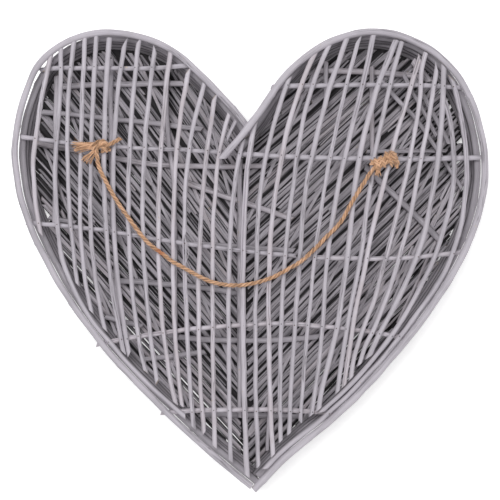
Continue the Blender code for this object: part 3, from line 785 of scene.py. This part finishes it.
def rod_piece(name, slants, others=(), sides=14, girth=1.0, painted_shade_shares=(0.0, 0.0), spread=0.0,
              reaches=(0.0, 0.0), bulge=0.0, looks="washed willow"):
    """The detailed rod that stands for one solid rod, its tips cut along the rods that they meet.

    It runs from its top to its bottom, and may reach a little further at both. A hoop may
    spread: near the lobes' tops its points move up by that much, and this fades to nothing as
    a soft step over a sixth of the outline's height. It may also bulge: round the bend of the
    left lobe its points move outward, and this fades as a bell curve of the distance. A
    frayed rod gets its thin strands too.
    """
    rng = rng_of(name)
    split = SPLITS.get(name)
    rows = rod_rows(name)
    rows[:, 3] *= girth
    rows[:, 1] += spread * near_lobe_tops(rows)
    if rows[0, 1] < rows[-1, 1]:
        rows = rows[::-1].copy()
    for end, before, reach in ((0, 1, reaches[0]), (-1, -2, reaches[1])):
        rows[end, :3] += reach * unit(rows[end, :3] - rows[before, :3])
    bell = np.exp(-((rows[:, :2] - BEND) ** 2).sum(1) / BEND_REACH ** 2)
    rows[:, :2] += bulge * bell[:, None] * (-0.7, 0.7)
    lines = [line for other, line in others if other != name]
    meets = [met_ahead(rows[end, :2], rows[before, :2], lines) for end, before in ((0, 1), (-1, -2))]
    rows, apart = frayed(name, rows)
    rod = willow_rod(rows, rng, 36 if split else sides, slants, split, meets=meets, painted_shade_shares=painted_shade_shares)
    thin = [willow_rod(strand, rng, 6, (0.5, 0.5), rough=0.6) for strand in apart]
    return make_piece(f"{name}_rod", [rod, *thin], finish(looks), [name])


def frayed(name, rows):
    """The rows of a rod and of the thin strands that have frayed from it.

    Where it is frayed, with soft ends, the rod is thinner and moves to the left, and each
    strand lies to its right, on the level of its upper side.
    """
    if name not in FRAYS:
        return rows, []
    begin, end, places = FRAYS[name]
    rows = spline(rows, 3 * MM)
    along = distances(rows[:, :3])
    share = along / along[-1]
    opened = soft_step(np.minimum(share - begin, end - share) / 0.03)
    apart = []
    for number, place in enumerate(places):
        strand = rows[(share > begin + 0.008 * number) & (share < end - 0.006 * number)].copy()
        bow = np.sin(np.linspace(0, np.pi, len(strand))) ** 0.6
        strand[:, 0] += bow * place * MM
        strand[:, 2] += (0.25 + 0.12 * bow) * strand[:, 3]
        strand[:, 3] = (0.85 - 0.1 * number) * MM
        apart.append(strand)
    rows[:, 0] -= FRAY_SHIFT * opened
    rows[:, 3] *= 1 - FRAY_THINNING * opened
    return rows, apart


def near_lobe_tops(points):
    """Share that rises from nothing to one, as a soft step, over a sixth of the outline's height."""
    return soft_step((points[:, 1] - CAD_BOX[1][1] + RISE / 4) / (RISE / 6))


def met_ahead(end, before, lines):
    """Direction of the line nearest to a point just ahead of a rod's end, or None if all are far."""
    if not lines:
        return None
    ahead = end + unit(end - before) * AHEAD
    away = [room(ahead[None], line)[0] for line in lines]
    if min(away) > NEAR:
        return None
    nearest = lines[int(np.argmin(away))]
    k = int(np.clip(np.linalg.norm(nearest - ahead, axis=1).argmin(), 1, len(nearest) - 2))
    return unit(nearest[k + 1] - nearest[k - 1])


def spanned(first, second):
    """Area that two plan vectors span, positive where the second is to the left of the first."""
    return first[..., 0] * second[..., 1] - first[..., 1] * second[..., 0]


def crossings(line, others):
    """Plan points where one line crosses others, found as shares along the segments of both."""
    found = []
    run = np.diff(line, axis=0)
    for other in others:
        way = np.diff(other, axis=0)
        gap = other[:-1] - line[:-1, None]
        area = spanned(run[:, None], way)
        area = np.where(np.abs(area) < 1e-14, 1e-14, area)
        t = spanned(gap, way) / area
        u = spanned(gap, run[:, None]) / area
        hits = np.argwhere((t >= 0) & (t < 1) & (u >= 0) & (u < 1))
        found += [line[i] + t[i, j] * run[i] for i, j in hits]
    return found


def brad_head(centre, radius, height, rng):
    """A low dome, its rings shrinking as a quarter circle, with a short shank sunk in the rod."""
    turns = np.linspace(0, np.pi / 2 * 0.86, 4)
    radii = np.concatenate([[0.45, 1.0], np.cos(turns)]) * radius
    levels = np.concatenate([[-1.2, -0.35], np.sin(turns)]) * height
    angle = -2 * np.pi * np.arange(8) / 8 + rng.uniform(0, 1)
    lean = rng.uniform(-0.15, 0.15, 2)
    flat = np.stack([np.cos(angle), np.sin(angle)], axis=1) * radii[:, None, None]
    rise = levels[:, None] + (flat * lean).sum(2)
    points = np.concatenate([flat, rise[..., None]], axis=2) + centre
    return tube(points, levels, 2 * np.pi * radius, rng.uniform())


def strands(path, radius, offset, lay, sides, rng, stain=None):
    """Three strands twisted round a path: each is a tube whose centre turns round it once a lay.

    A face that looks to the path's middle more than away from it is darkened: painted shade in
    the rope's grooves. A stain browns the faces round its place, by the exponential of minus the fourth
    power of the distance over its reach. The turn, the strands' distance from the path, their
    thickness and their roundness stray as slow random lines.
    """
    along = distances(path)
    _, side, up = directions(path)
    angle = ring_angles(sides)
    made = []
    for third in (0, 1 / 3, 2 / 3):
        turn = 2 * np.pi * (along / lay + third) + wander(along, rng, 40 * MM, 0.35)
        reach = offset * (1 + wander(along, rng, 9 * MM, 0.1))
        outward = np.cos(turn)[:, None] * side + np.sin(turn)[:, None] * up
        centre = path + reach[:, None] * outward
        thick = radius * (1 + wander(along, rng, 6 * MM, 0.08)[:, None]
                          + 0.06 * np.cos(3 * angle + wander(along, rng, 8 * MM, 3)[:, None]))
        spoke = spokes(angle, *directions(centre)[1:])
        strand = tube(centre[:, None] + spoke * thick[..., None], along, 2 * np.pi * radius, rng.uniform())
        strand["flat"] += rng.uniform(0, 3, 2)
        middle = spoke + np.roll(spoke, -1, axis=1)
        away = (unit(middle[:-1]) * outward[:-1, None]).sum(2)
        # Painted shade on the faces that look into the grooves
        strand["painted_shade"][:away.size] = np.interp(away, (0.1, 0.7), (0.5, 0.0)).ravel()
        if stain is not None:
            far = np.linalg.norm(path[:-1, :2] - stain, axis=1) / STAIN_REACH
            strand["cut"][:away.size] = np.repeat(0.8 * np.exp(-far ** 4), sides)
        made.append(strand)
    return made


def fibre(root, way, length, curl, thick, rng, sides=3, taper=0.7):
    """One loose fibre or yarn: a thread that bends sideways and droops as the square of its length."""
    t = np.linspace(0, 1, 5)[:, None]
    sideways = np.cross(way, UP) * rng.uniform(-1, 1) + UP * rng.uniform(-0.5, 0.4)
    line = root + length * (t * way + curl * t * t * sideways)
    spoke = spokes(ring_angles(sides) + np.pi / 2, *directions(line, UP + 0.01)[1:])
    width = thick * (1 - taper * t)[..., None]
    return tube(line[:, None] + spoke * width, t[:, 0] * length, 6 * thick, rng.uniform())


def rope_path():
    """The hanger's centre line: its route, at the middle height of the solid rope."""
    low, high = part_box("hanger_rope")
    route = chart_place(ROPE_ROUTE)
    return spline(np.column_stack([route, np.full(len(route), (low[2] + high[2]) / 2)]), ROPE_STEP)


def cable(path, rng, jute, dia):
    """A short length of the rope as three twisted strands, with stray fibres lying along it."""
    made = strands(path, 0.26 * dia, 0.26 * dia, jute.lay * KNOT_LAY, 10, rng)
    heading = directions(path)[0]
    for _ in range(len(path)):
        k = rng.integers(1, len(path) - 1)
        out = unit(rng.normal(0, 1, 3) + (0, 0, 0.8))
        way = unit(heading[k] * rng.choice([-1, 1]) + 0.45 * out + rng.normal(0, 0.25, 3))
        made.append(fibre(path[k] + out * 0.46 * dia, way, rng.uniform(2, 6) * MM, rng.uniform(0, 0.8),
                          rng.uniform(0.06, 0.13) * MM, rng))
    return made


# The plan place under the camera, and how near and how far it sees
UNDER_CAMERA = (0.4 * MM, 10.9 * MM)
CAMERA_CLIP = (0.05, 30)
WHITE = (1.0, 1.0, 1.0, 1.0)
FLOOR_REACH = 5.0
SKY_STRENGTH = 0.3
# The lamps' names, places, sizes and shares of the softbox's power; both face the origin
LAMPS = (("softbox", (-0.5, 0.7, 1.9), 1.3, 1.0), ("fill", (1.2, -0.7, 1.5), 1.6, 0.4))


class HEART_OT_stage(bpy.types.Operator):
    """Makes the camera, the pale floor and the soft light."""

    bl_idname = "heart.stage"
    bl_label = "Camera, floor and light"

    def execute(self, context):
        stage = context.scene.heart_stage
        camera = bpy.data.cameras.new("camera")
        camera.angle = 2 * math.atan(stage.view_width / 2 / stage.distance)
        camera.clip_start, camera.clip_end = CAMERA_CLIP
        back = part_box("upright_16")[1][2]
        place = (*UNDER_CAMERA, back + stage.distance)
        context.scene.camera = self.placed(context, "camera", camera, place)
        sheet = bpy.data.meshes.new("floor")
        corners = [(x * FLOOR_REACH, y * FLOOR_REACH, 0) for x, y in ((-1, -1), (1, -1), (1, 1), (-1, 1))]
        sheet.from_pydata(corners, [], [(0, 1, 2, 3)])
        paper, _, card = new_finish("white paper")
        card["Base Color"].default_value = colour(stage.floor)
        card["Emission Color"].default_value = WHITE
        card["Emission Strength"].default_value = stage.glow
        card["Roughness"].default_value = 0.9
        sheet.materials.append(paper)
        self.placed(context, "floor", sheet)
        for name, place, size, share in LAMPS:
            light = bpy.data.lights.new(name, "AREA")
            light.size = size
            light.energy = stage.softbox * share
            x, y, z = place
            lamp = self.placed(context, name, light, place)
            lamp.rotation_euler = (math.atan2(math.hypot(x, y), z), 0, math.atan2(-y, -x) - math.pi / 2)
        world = bpy.data.worlds.new("studio")
        world.use_nodes = True
        sky = world.node_tree.nodes["Background"].inputs
        sky["Color"].default_value = WHITE
        sky["Strength"].default_value = SKY_STRENGTH
        context.scene.world = world
        context.scene.view_settings.view_transform = "Standard"
        return {"FINISHED"}

    def placed(self, context, name, data, place=(0, 0, 0)):
        """A new object of the stage, in its place."""
        made = bpy.data.objects.new(name, data)
        made.location = place
        context.scene.collection.objects.link(made)
        return made


class HEART_OT_hanger(bpy.types.Operator):
    """Makes the slack jute rope with its knots, tails and loose fibres."""

    bl_idname = "heart.hanger"
    bl_label = "Jute hanger"

    def execute(self, context):
        jute = context.scene.jute_hanger
        rng = rng_of("hanger")
        path = rope_path()
        stain = chart_place([ROPE_STAIN])[0]
        twisted = strands(path, 0.25 * ROPE_DIA, 0.262 * ROPE_DIA, jute.lay, 12, rng, stain)
        rope = make_piece("hanger_rope_strands", twisted, finish("twisted jute"),
                          ["hanger_rope"], 60)
        knots = [self.knot(side, jute) for side in ("left", "right")]
        loose = [self.loose_fibre(path, rng) for _ in range(jute.fibres)]
        fuzz = make_piece("hanger_fibres", loose, finish("twisted jute"), ridge=80)
        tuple(path[0])
        float(distances(path)[-1])
        return {"FINISHED"}

    def loose_fibre(self, path, rng):
        """A fibre that leaves the rope sideways or up, close along it."""
        k = rng.integers(4, len(path) - 4)
        heading = unit(path[k + 2] - path[k - 2])
        side = unit(np.cross(heading, UP))
        turn = rng.uniform(-0.3, np.pi + 0.3)
        out = math.cos(turn) * side + math.sin(turn) * UP
        root = path[k] + out * ROPE_DIA * 0.42
        way = unit(heading * rng.choice([-1, 1]) * rng.uniform(0.7, 1.6) + out * rng.uniform(0.3, 1.0))
        return fibre(root, way, rng.uniform(1.5, 5.0) * MM, rng.uniform(0.1, 0.7), 0.055 * MM, rng)

    def knot(self, side, jute):
        """One knot: turns of rope round the rods that it holds, and frayed tails of yarns and fibres."""
        rng = rng_of(f"knot {side}")
        low, high = (np.array(corner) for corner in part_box(f"hanger_knot_{side}"))
        middle = (low + high) / 2
        tubes = []
        for points in KNOT_TURNS[side]:
            turn = spline(np.array(points) * MM + middle, ROPE_STEP)
            tubes += cable(turn, rng, jute, KNOT_GIRTH * ROPE_DIA)
        for root, way, length, yarns, spread, bulk in KNOT_TAILS[side]:
            for number in range(4 * yarns):
                heading = unit(way + rng.normal(0, spread, 3) * (1, 1, 0.4))
                start = (root + rng.normal(0, bulk, 3) * (1, 1, 0.4)) * MM + middle
                lengths, curl, thick, form = YARN if number < yarns else LOOSE_END
                tubes.append(fibre(start, heading, length * MM * rng.uniform(*lengths),
                                   rng.uniform(0.0, curl), rng.uniform(*thick) * MM, rng, *form))
        return make_piece(f"hanger_knot_{side}_turns", tubes, finish("twisted jute"),
                          [f"hanger_knot_{side}"], 60)


# The knots' turns of rope, in millimetres from each knot's middle
KNOT_TURNS = {
    "left": [
        [(-3.2, -10.0, 2.0), (-3.2, -5.0, 3.2), (-1.6, -0.5, 4.8), (1.5, 3.5, 5.2), (4.8, 3.2, 4.4),
         (6.0, 0.0, 3.0), (4.5, -3.5, 1.5), (1.0, -4.5, 0.5)],
        [(-12.0, 0.6, 1.5), (-6.5, 2.4, 3.4), (-2.0, 4.8, 3.8), (3.0, 5.6, 3.0), (6.6, 3.0, 1.8),
         (7.0, -1.5, 0.0)],
        [(-8.5, -3.0, 1.8), (-4.5, -1.0, 4.0), (1.0, 0.0, 5.4), (5.0, -2.4, 3.6), (6.0, -5.0, 1.0)],
        [(-4.5, 0.5, 2.6), (0.5, 1.5, 4.8), (5.0, 1.2, 4.2), (10.5, 2.5, 3.2), (15.5, 5.5, 2.8),
         (20.5, 8.0, 2.6)],
        [(2.0, -1.0, -3.0), (6.5, -2.5, -2.6), (10.0, -2.9, -3.4)],
    ],
    "right": [
        [(-15.5, -13.0, 2.0), (-11.5, -7.5, 3.2), (-7.0, -3.0, 4.6), (-1.0, 1.0, 5.2), (4.0, 5.5, 5.0),
         (9.0, 8.0, 3.5), (12.5, 5.5, 1.5), (13.0, 1.0, 0.0)],
        [(-12.5, -1.5, 1.5), (-8.0, 1.0, 3.6), (-2.0, 3.0, 5.0), (3.5, 7.0, 4.6), (8.5, 9.5, 2.5),
         (12.5, 8.0, 0.5)],
        [(-9.5, -6.5, 1.0), (-5.5, -5.5, 3.4), (0.0, -2.0, 5.2), (5.0, 1.5, 5.6), (9.5, 3.5, 4.4),
         (13.5, 2.0, 2.2), (14.0, -3.0, 1.0)],
        [(2.5, 10.0, 0.5), (2.0, 7.5, 4.0), (4.5, 3.0, 6.2), (7.5, -0.5, 5.0), (8.0, -3.5, 2.0)],
        [(7.0, 10.8, 0.5), (7.0, 8.0, 4.2), (9.5, 4.0, 6.0), (12.0, 0.5, 4.2), (12.0, -2.0, 1.0)],
        [(-9.5, 3.0, 0.5), (-8.5, 0.5, 4.4), (-6.5, -4.0, 4.8), (-5.0, -8.0, 2.0)],
        [(-4.0, 5.5, 1.0), (-3.0, 2.5, 5.0), (-0.5, -1.5, 5.6), (0.5, -4.5, 2.5)],
    ],
}
# A yarn and a loose fibre of a tail: shares of its length, curl, thickness in millimetres, and
# the sides and taper of a yarn
YARN = ((0.8, 1.05), 0.25, (0.5, 0.85), (6, 0.25))
LOOSE_END = ((0.6, 1.15), 0.5, (0.07, 0.18), ())
# The frayed tails: root in millimetres, direction, length, number of yarns, how their ways
# differ and how far apart they start
KNOT_TAILS = {
    "left": [
        ((-7.0, 1.8, 2.8), (-1.0, 0.03, 0.0), 21, 14, 0.045, 1.2),
        ((-7.0, 0.0, 2.3), (-1.0, -0.16, 0.0), 20, 12, 0.05, 1.1),
        ((-4.5, -3.0, 2.0), (-0.85, -0.68, 0.0), 19, 7, 0.07, 0.8),
        ((-3.5, -4.0, 2.0), (-0.55, -0.84, 0.0), 17, 3, 0.05, 0.6),
        ((20.0, 7.8, 2.6), (1.0, 0.4, 0.0), 2, 5, 0.3, 0.7),
    ],
    "right": [
        ((-10.0, -1.0, 3.0), (-1.0, 0.2, 0.0), 5, 8, 0.5, 0.7),
        ((-6.0, -7.5, 2.4), (-0.3, -1.0, 0.0), 8, 7, 0.25, 0.7),
        ((4.0, 4.0, 5.0), (0.2, 0.6, 0.2), 5, 9, 1.2, 0.7),
        ((13.0, -2.0, 1.6), (0.2, -1.0, 0.0), 4, 6, 0.3, 0.7),
    ],
}


class HEART_OT_side_hoops(bpy.types.Operator):
    """Makes the rods of the four hoops of the side wall."""

    bl_idname = "heart.side_hoops"
    bl_label = "Side hoops"

    def execute(self, context):
        for number in range(1, 5):
            for side in ("left", "right"):
                passes = (number % 2 == 0) == (side == "left")
                # Painted shade on the hoops: a quarter on the faces that look up, more on the sides
                rod_piece(f"rim_{number}_{side}", (0.12, 0.12), sides=16, girth=1.04, painted_shade_shares=(0.25, 0.8),
                          spread=HOOP_SPREAD, reaches=(0.0, (2.2 if passes else 0.4) * MM),
                          looks="side hoop willow")
        return {"FINISHED"}


class HEART_OT_back_hoop(bpy.types.Operator):
    """Makes the two rods of the back hoop."""

    bl_idname = "heart.back_hoop"
    bl_label = "Back hoop"

    def execute(self, context):
        rod_piece("rim_back_left", (0.1, 0.1), sides=18, girth=0.89, reaches=(0.0, 1.1 * MM), bulge=3.0 * MM)
        rod_piece("rim_back_right", (0.8, 0.1), sides=18, girth=0.98)
        return {"FINISHED"}


class HEART_OT_crossbars(bpy.types.Operator):
    """Makes the crossbars under the uprights."""

    bl_idname = "heart.crossbars"
    bl_label = "Crossbars"

    def execute(self, context):
        for name in sorted(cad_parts):
            if name.startswith("crossbar"):
                rod_piece(name, (0.5, 0.6))
        return {"FINISHED"}


# How much further the tips of some uprights reach, in millimetres, and which of them are pointed
TIPS = {
    "01": 12.0, "02": 9.0, "03": 6.0, "04": 3.5, "05": 3.0, "06": 1.0, "07": 2.0, "08": 4.5, "09": 2.5,
    "10": 5.0, "11": 7.5, "12": 2.0, "13": 8.5, "14": 0.0, "15": 0.0, "16": 8.0, "17": 10.0, "18": 7.0,
    "19": 7.5, "20": 2.5, "21": 4.5, "22": 3.5, "23": 4.5, "25": 10.0, "27": 2.5, "29": 5.0, "30": 6.0,
}
POINTED = ("07", "08", "09", "11", "13", "17", "21", "27", "30")
# The share of the other uprights that are pointed
POINTED_SHARE = 0.35


class HEART_OT_uprights(bpy.types.Operator):
    """Makes the uprights of the back."""

    bl_idname = "heart.uprights"
    bl_label = "Uprights"

    def execute(self, context):
        names = [name for name in sorted(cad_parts) if name.startswith(("upright", "rim_back"))]
        level = [(name, spline(rod_rows(name), 2 * MM)[:, :2]) for name in names]
        rng = rng_of("cut tips")
        for name in names:
            if name.startswith("upright"):
                number = name.removeprefix("upright_")
                drawn = rng.uniform() < POINTED_SHARE
                pointed = number in POINTED if number in TIPS else drawn
                slants = (rng.uniform(1.6, 2.6) if pointed else 0.9, rng.uniform(0.6, 1.3))
                rod_piece(name, slants, () if pointed else level, reaches=(TIPS.get(number, 0.0) * MM, 0.0))
        return {"FINISHED"}


class HEART_OT_brads(bpy.types.Operator):
    """Makes the brad heads where uprights are nailed to crossbars."""

    bl_idname = "heart.brads"
    bl_label = "Brads"

    def execute(self, context):
        radius = context.scene.willow_rods.brad_dia / 2
        rng = rng_of("brads")
        bars = [spline(rod_rows(name), 4 * MM)[:, :2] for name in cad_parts
                if name.startswith("crossbar")]
        heads = []
        for name in sorted(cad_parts):
            if not name.startswith("upright"):
                continue
            rows = spline(rod_rows(name), 4 * MM)
            for point in crossings(rows[:, :2], bars):
                nearest = np.linalg.norm(rows[:, :2] - point, axis=1).argmin()
                top = rows[nearest, 2] + rows[nearest, 3] / 2
                if rng.uniform() < BRAD_SHARE:
                    spot = point + rng.normal(0, 0.5, 2) * MM
                    heads.append(brad_head(np.array([*spot, top - BRAD_SUNK]), radius, BRAD_RISE, rng))
        make_piece("brads", heads, finish("dull brads"), ridge=50)
        return {"FINISHED"}


class HEART_OT_front_panel(bpy.types.Operator):
    """Makes the slanting sticks of the front and the sticks that tie them."""

    bl_idname = "heart.front_panel"
    bl_label = "Front panel"

    def execute(self, context):
        outline = hoop_line(1)
        outline[:, 1] += HOOP_SPREAD * near_lobe_tops(outline)
        for side, plan in PANEL_SIDES.items():
            rng = rng_of(f"panel {side}")
            sticks = []
            for at, rise, width, level, cuts, tones, painted_shade_shares, taper in self.layers(plan, side, rng):
                close = tones[1] < 0.5
                ends = self.reach(at, rise, width, plan, outline, close, rng)
                if ends is None:
                    continue
                run = ends[1] - ends[0]
                ends = np.array([ends[0] + run * cuts[0], ends[1] - run * cuts[1]])
                middle = ends.mean(0) + rng.normal(0, 0.5, 2) * MM
                widths = width * rng.uniform(0.95, 1.05, 3) * (1.04, 1.01, taper)
                slants, meets = ((1.0, 0.1), (UP[[0, 2]], None)) if close else ((0.5, 0.9), (None, None))
                sticks.append(self.stick((ends[0], middle, ends[1]), level, widths, rng, slants, tones,
                                         painted_shade_shares, meets))
            for place, length in STEEP[side]:
                way = self.climb(STEEP_CLIMB + rng.normal(0, 60), plan) * length / 2 * MM
                middle = chart_place([place])[0]
                width = STICK * rng.uniform(0.8, 1.15)
                # A steep stick, with painted shade on its sides
                sticks.append(self.stick((middle - way, middle, middle + way), TIE_FLOOR + STICK - width / 2,
                                         width * rng.uniform(0.85, 1.0, 3), rng, (0.9, 0.9), (0.4, 1.0),
                                         (0.0, 0.9)))
            make_piece(f"panel_{side}_sticks", sticks, finish("aged willow"),
                       [f"panel_{side}"])
        return {"FINISHED"}

    def stick(self, places, level, widths, rng, slants, tones, painted_shade_shares, meets=(None, None)):
        """A level stick through three plan places."""
        rows = np.column_stack([places, [level] * 3, widths])
        return willow_rod(rows, rng, 8, slants, step=8 * MM, rough=1.3, tones=tones, meets=meets,
                          painted_shade_shares=painted_shade_shares)

    def layers(self, plan, side, rng):
        """Places, rises, widths, levels, cut ends, tones, shares of painted shade and tapers of the sticks,
        from the floor up.

        A close sheet lies lowest, with near-black painted shade on its tops and sides, and low in tone.
        It goes on past the seam's bottom, and its lowest sticks are thinner. On it lies a thin and a
        thicker sheet in partial painted shade, then the sticks that show, at more than a stick's spacing,
        less even, and some of them short or broken. The ties lie among them.
        """
        top, bottom = chart_place([(SEAM, height) for height in plan["seam"]])
        highest = chart_place([(SEAM, plan["top"])])[0]
        drop = top[1] - bottom[1]
        across = abs(self.climb(sum(plan["rises"]) / 2, plan)[0])
        count = int(drop * across / (STICK * STICK_ROOM))
        first = -(highest[1] - top[1]) / drop
        upper = TIE_FLOOR + STICK
        fan = 1 + max(0, plan["rises"][0] - plan["rises"][1]) / 1000 * RISE / drop

        # Painted shade on the tops of the sticks that show: a random share up to the side's most, and more
        # towards the lobes' tops
        def shade(share):
            return rng.uniform(0, plan["shade"]) + 0.5 * np.clip(0.3 - share, 0, 0.3)

        def laid(share, stray, steeper=1.0):
            rise = np.interp(share, (0, 1), plan["rises"]) * rng.normal(1, stray)
            return top + (bottom - top) * share, steeper * rise

        # The close sheet: near-black painted shade on its tops and sides, and low tones
        for share in np.arange(first, plan["last"], CLOSE_PITCH / count):
            width = STICK * rng.uniform(0.92, 1.04) * np.interp(share, plan["thin"], (1.05, 0.74))
            cuts = (0.0, rng.uniform(0.03, 0.08) if rng.uniform() < 0.2 * (share > plan["ragged"]) else 0.0)
            yield *laid(share, 0.004), width, PANEL_FLOOR + width / 2, cuts, (0.0, 0.45), (0.97, 0.97), fan
        # Start, pitch, widths, stray, level as a base and a share of the width, cut, painted shade on the
        # tops, and taper
        thin = (0.3, THIN_PITCH, (0.25, 0.5), 0.03, PANEL_FLOOR + STICK, 0.2, 0.3, (0.1, 0.75), 0.7)
        thicker = (0.7, MIDDLE_PITCH, (0.55, 0.9), 0.025, TIE_FLOOR + 2.6 * MM, -0.5, 0.2, (0.0, 0.6),
                   0.85 * fan)
        for start, pitch, widths, stray, low, part, cut, painted_shade, taper in (thin, thicker):
            for share in np.arange(first + start / count, 1, pitch / count):
                width = STICK * rng.uniform(*widths)
                yield (*laid(share, stray), width, low + part * width, rng.uniform(0, cut, 2) ** 2,
                       (0.0, 0.7), (rng.uniform(*painted_shade), 0.95), taper)
        # The sticks that show: painted shade on their tops and much on their sides
        for share in np.arange(first, 0.5 + plan["last"] / 2, SHOWING_PITCH / count):
            width = STICK * rng.uniform(0.8, 1.3)
            cuts = rng.uniform(0, 0.01, 2)
            if rng.uniform() < 0.2:
                cuts = (rng.uniform(0, 0.5), rng.uniform(0.05, 0.4))
            shift = rng.normal(0, 0.003)
            at, rise = laid(share, 0.04)
            yield (at + (bottom - top) * shift, rise, width, upper - width / 2 + rng.uniform(-1.0, 0.1) * MM,
                   cuts, (0.2, 1.0), (shade(share), 0.9), 0.75 * fan)
        # Short loose sticks, with painted shade as on those that show
        for _ in range(count):
            share = rng.uniform(first, 1)
            width = STICK * rng.uniform(0.35, 0.8)
            begins = rng.uniform(0, 0.75)
            yield (*laid(share, 0.11, 1.03), width, upper - width / 2 + rng.uniform(-1.6, 0.1) * MM,
                   (begins, max(0.0, 1 - begins - rng.uniform(0.15, 0.5))), (0.0, 1.0),
                   (shade(share), 0.9), 0.7)
        for at, rise in TIES[side]:
            # The ties, with painted shade on their sides
            yield (chart_place([(at, TIE_LINE)])[0], rise, STICK, upper - STICK / 2, (0.0, 0.0), (0.3, 0.9),
                   (0.0, 0.85), 0.9)

    def climb(self, rise, plan):
        """Direction away from the seam that climbs by so many thousandths in a thousand across."""
        return unit(np.array([plan["outward"] * HALF_SPAN, rise / 1000 * RISE]))

    def reach(self, at, rise, width, plan, outline, close, rng):
        """Both ends of the longest stretch of a slanting line inside the front hoop, on its side of the seam.

        The close sheet goes up to the seam and under the hoop. Below a height that differs
        from side to side, many of its sticks stop short of the hoop, so that slivers of floor
        show.
        """
        line = at + np.linspace(-0.5, 0.5, 1001)[:, None] * self.climb(rise, plan)
        seam = chart_place([(SEAM, 0)])[0, 0]
        from_hoop = HOOP_DIA / 2 - 1.2 * MM
        from_seam = 0.35 * width
        if close:
            low = line[:, 1] < outline[:, 1].min() + plan["slivers"] * RISE
            from_hoop = from_hoop - 2.0 * MM + low * max(0.0, rng.uniform(-4.0, 5.0)) * MM
            from_seam = 0.04 * width
        kept = inside(line, outline) & ((line[:, 0] - seam) * plan["outward"] > from_seam)
        kept &= room(line, np.vstack([outline, outline[:1]])) > from_hoop
        edges = np.flatnonzero(np.diff(np.concatenate([[False], kept, [False]]).astype(int)))
        if not len(edges):
            return None
        spans = edges.reshape(-1, 2)
        first, last = spans[np.diff(spans, axis=1).argmax()]
        return line[[first, last - 1]] if last - first > SHORTEST else None


class HEART_OT_inner_frame(bpy.types.Operator):
    """Makes the rails and posts nailed behind the front."""

    bl_idname = "heart.inner_frame"
    bl_label = "Rails and posts"

    def execute(self, context):
        for side in ("left", "right"):
            rng = rng_of(f"inner frame {side}")
            bent = []
            for entries, size, hoop in ((RAILS[side], RAIL_DIA, 2), (POSTS[side], POST_DIA, 3)):
                outline = hoop_line(hoop)
                for share, points in entries:
                    width = 1.1 * share * size
                    level = RAIL_FLOOR + size - width / 2 if hoop == 2 else POST_FLOOR + width / 2
                    flat = np.column_stack([chart_place(points), np.zeros(len(points))])
                    line = spline(flat, 0.5 * MM)[:, :2]
                    kept = inside(line, outline) & (room(line, outline) > (HOOP_DIA + 0.8 * width) / 2)
                    line = line[kept][:: max(1, int(kept.sum() / 8))]
                    rows = np.column_stack([line, np.full(len(line), level),
                                            width * np.linspace(1.0, rng.uniform(0.85, 1.0), len(line))])
                    # Painted shade on the sides of the rails and posts
                    bent.append(willow_rod(rows, rng, 12, (0.4, 0.6), rough=1.1, painted_shade_shares=(0.0, 0.5)))
            make_piece(f"inner_frame_{side}_rods", bent, finish("aged willow"),
                       [f"inner_frame_{side}"])
        return {"FINISHED"}


class HEART_PT_pieces(bpy.types.Panel):
    """Lists the heart's pieces in the sidebar."""

    bl_idname = "HEART_PT_pieces"
    bl_label = "Wicker heart"
    bl_space_type = "VIEW_3D"
    bl_region_type = "UI"
    bl_category = "Wicker heart"

    def draw(self, context):
        for group in SETTINGS:
            box = self.layout.box()
            settings = getattr(context.scene, group)
            for label in settings.__annotations__:
                box.prop(settings, label)
        for operator in OPERATORS:
            self.layout.operator(operator.bl_idname)


OPERATORS = (HEART_OT_stage, HEART_OT_hanger, HEART_OT_side_hoops, HEART_OT_back_hoop, HEART_OT_crossbars,
             HEART_OT_uprights, HEART_OT_brads, HEART_OT_front_panel, HEART_OT_inner_frame)
SETTINGS = {"willow_rods": WillowRods, "heart_colours": WillowColours, "jute_hanger": JuteHanger,
            "heart_stage": HeartStage}


KINDS = (*SETTINGS.values(), *OPERATORS, HEART_PT_pieces)


def register():
    for kind in KINDS:
        bpy.utils.register_class(kind)
    for name, kind in SETTINGS.items():
        setattr(bpy.types.Scene, name, PointerProperty(type=kind))


def unregister():
    for name in SETTINGS:
        delattr(bpy.types.Scene, name)
    for kind in reversed(KINDS):
        bpy.utils.unregister_class(kind)


def main():
    register()
    bpy.ops.heart.stage()
    bpy.ops.heart.hanger()
    bpy.ops.heart.side_hoops()
    bpy.ops.heart.back_hoop()
    bpy.ops.heart.crossbars()
    bpy.ops.heart.uprights()
    bpy.ops.heart.brads()
    bpy.ops.heart.front_panel()
    bpy.ops.heart.inner_frame()


if __name__ == "__main__":
    main()
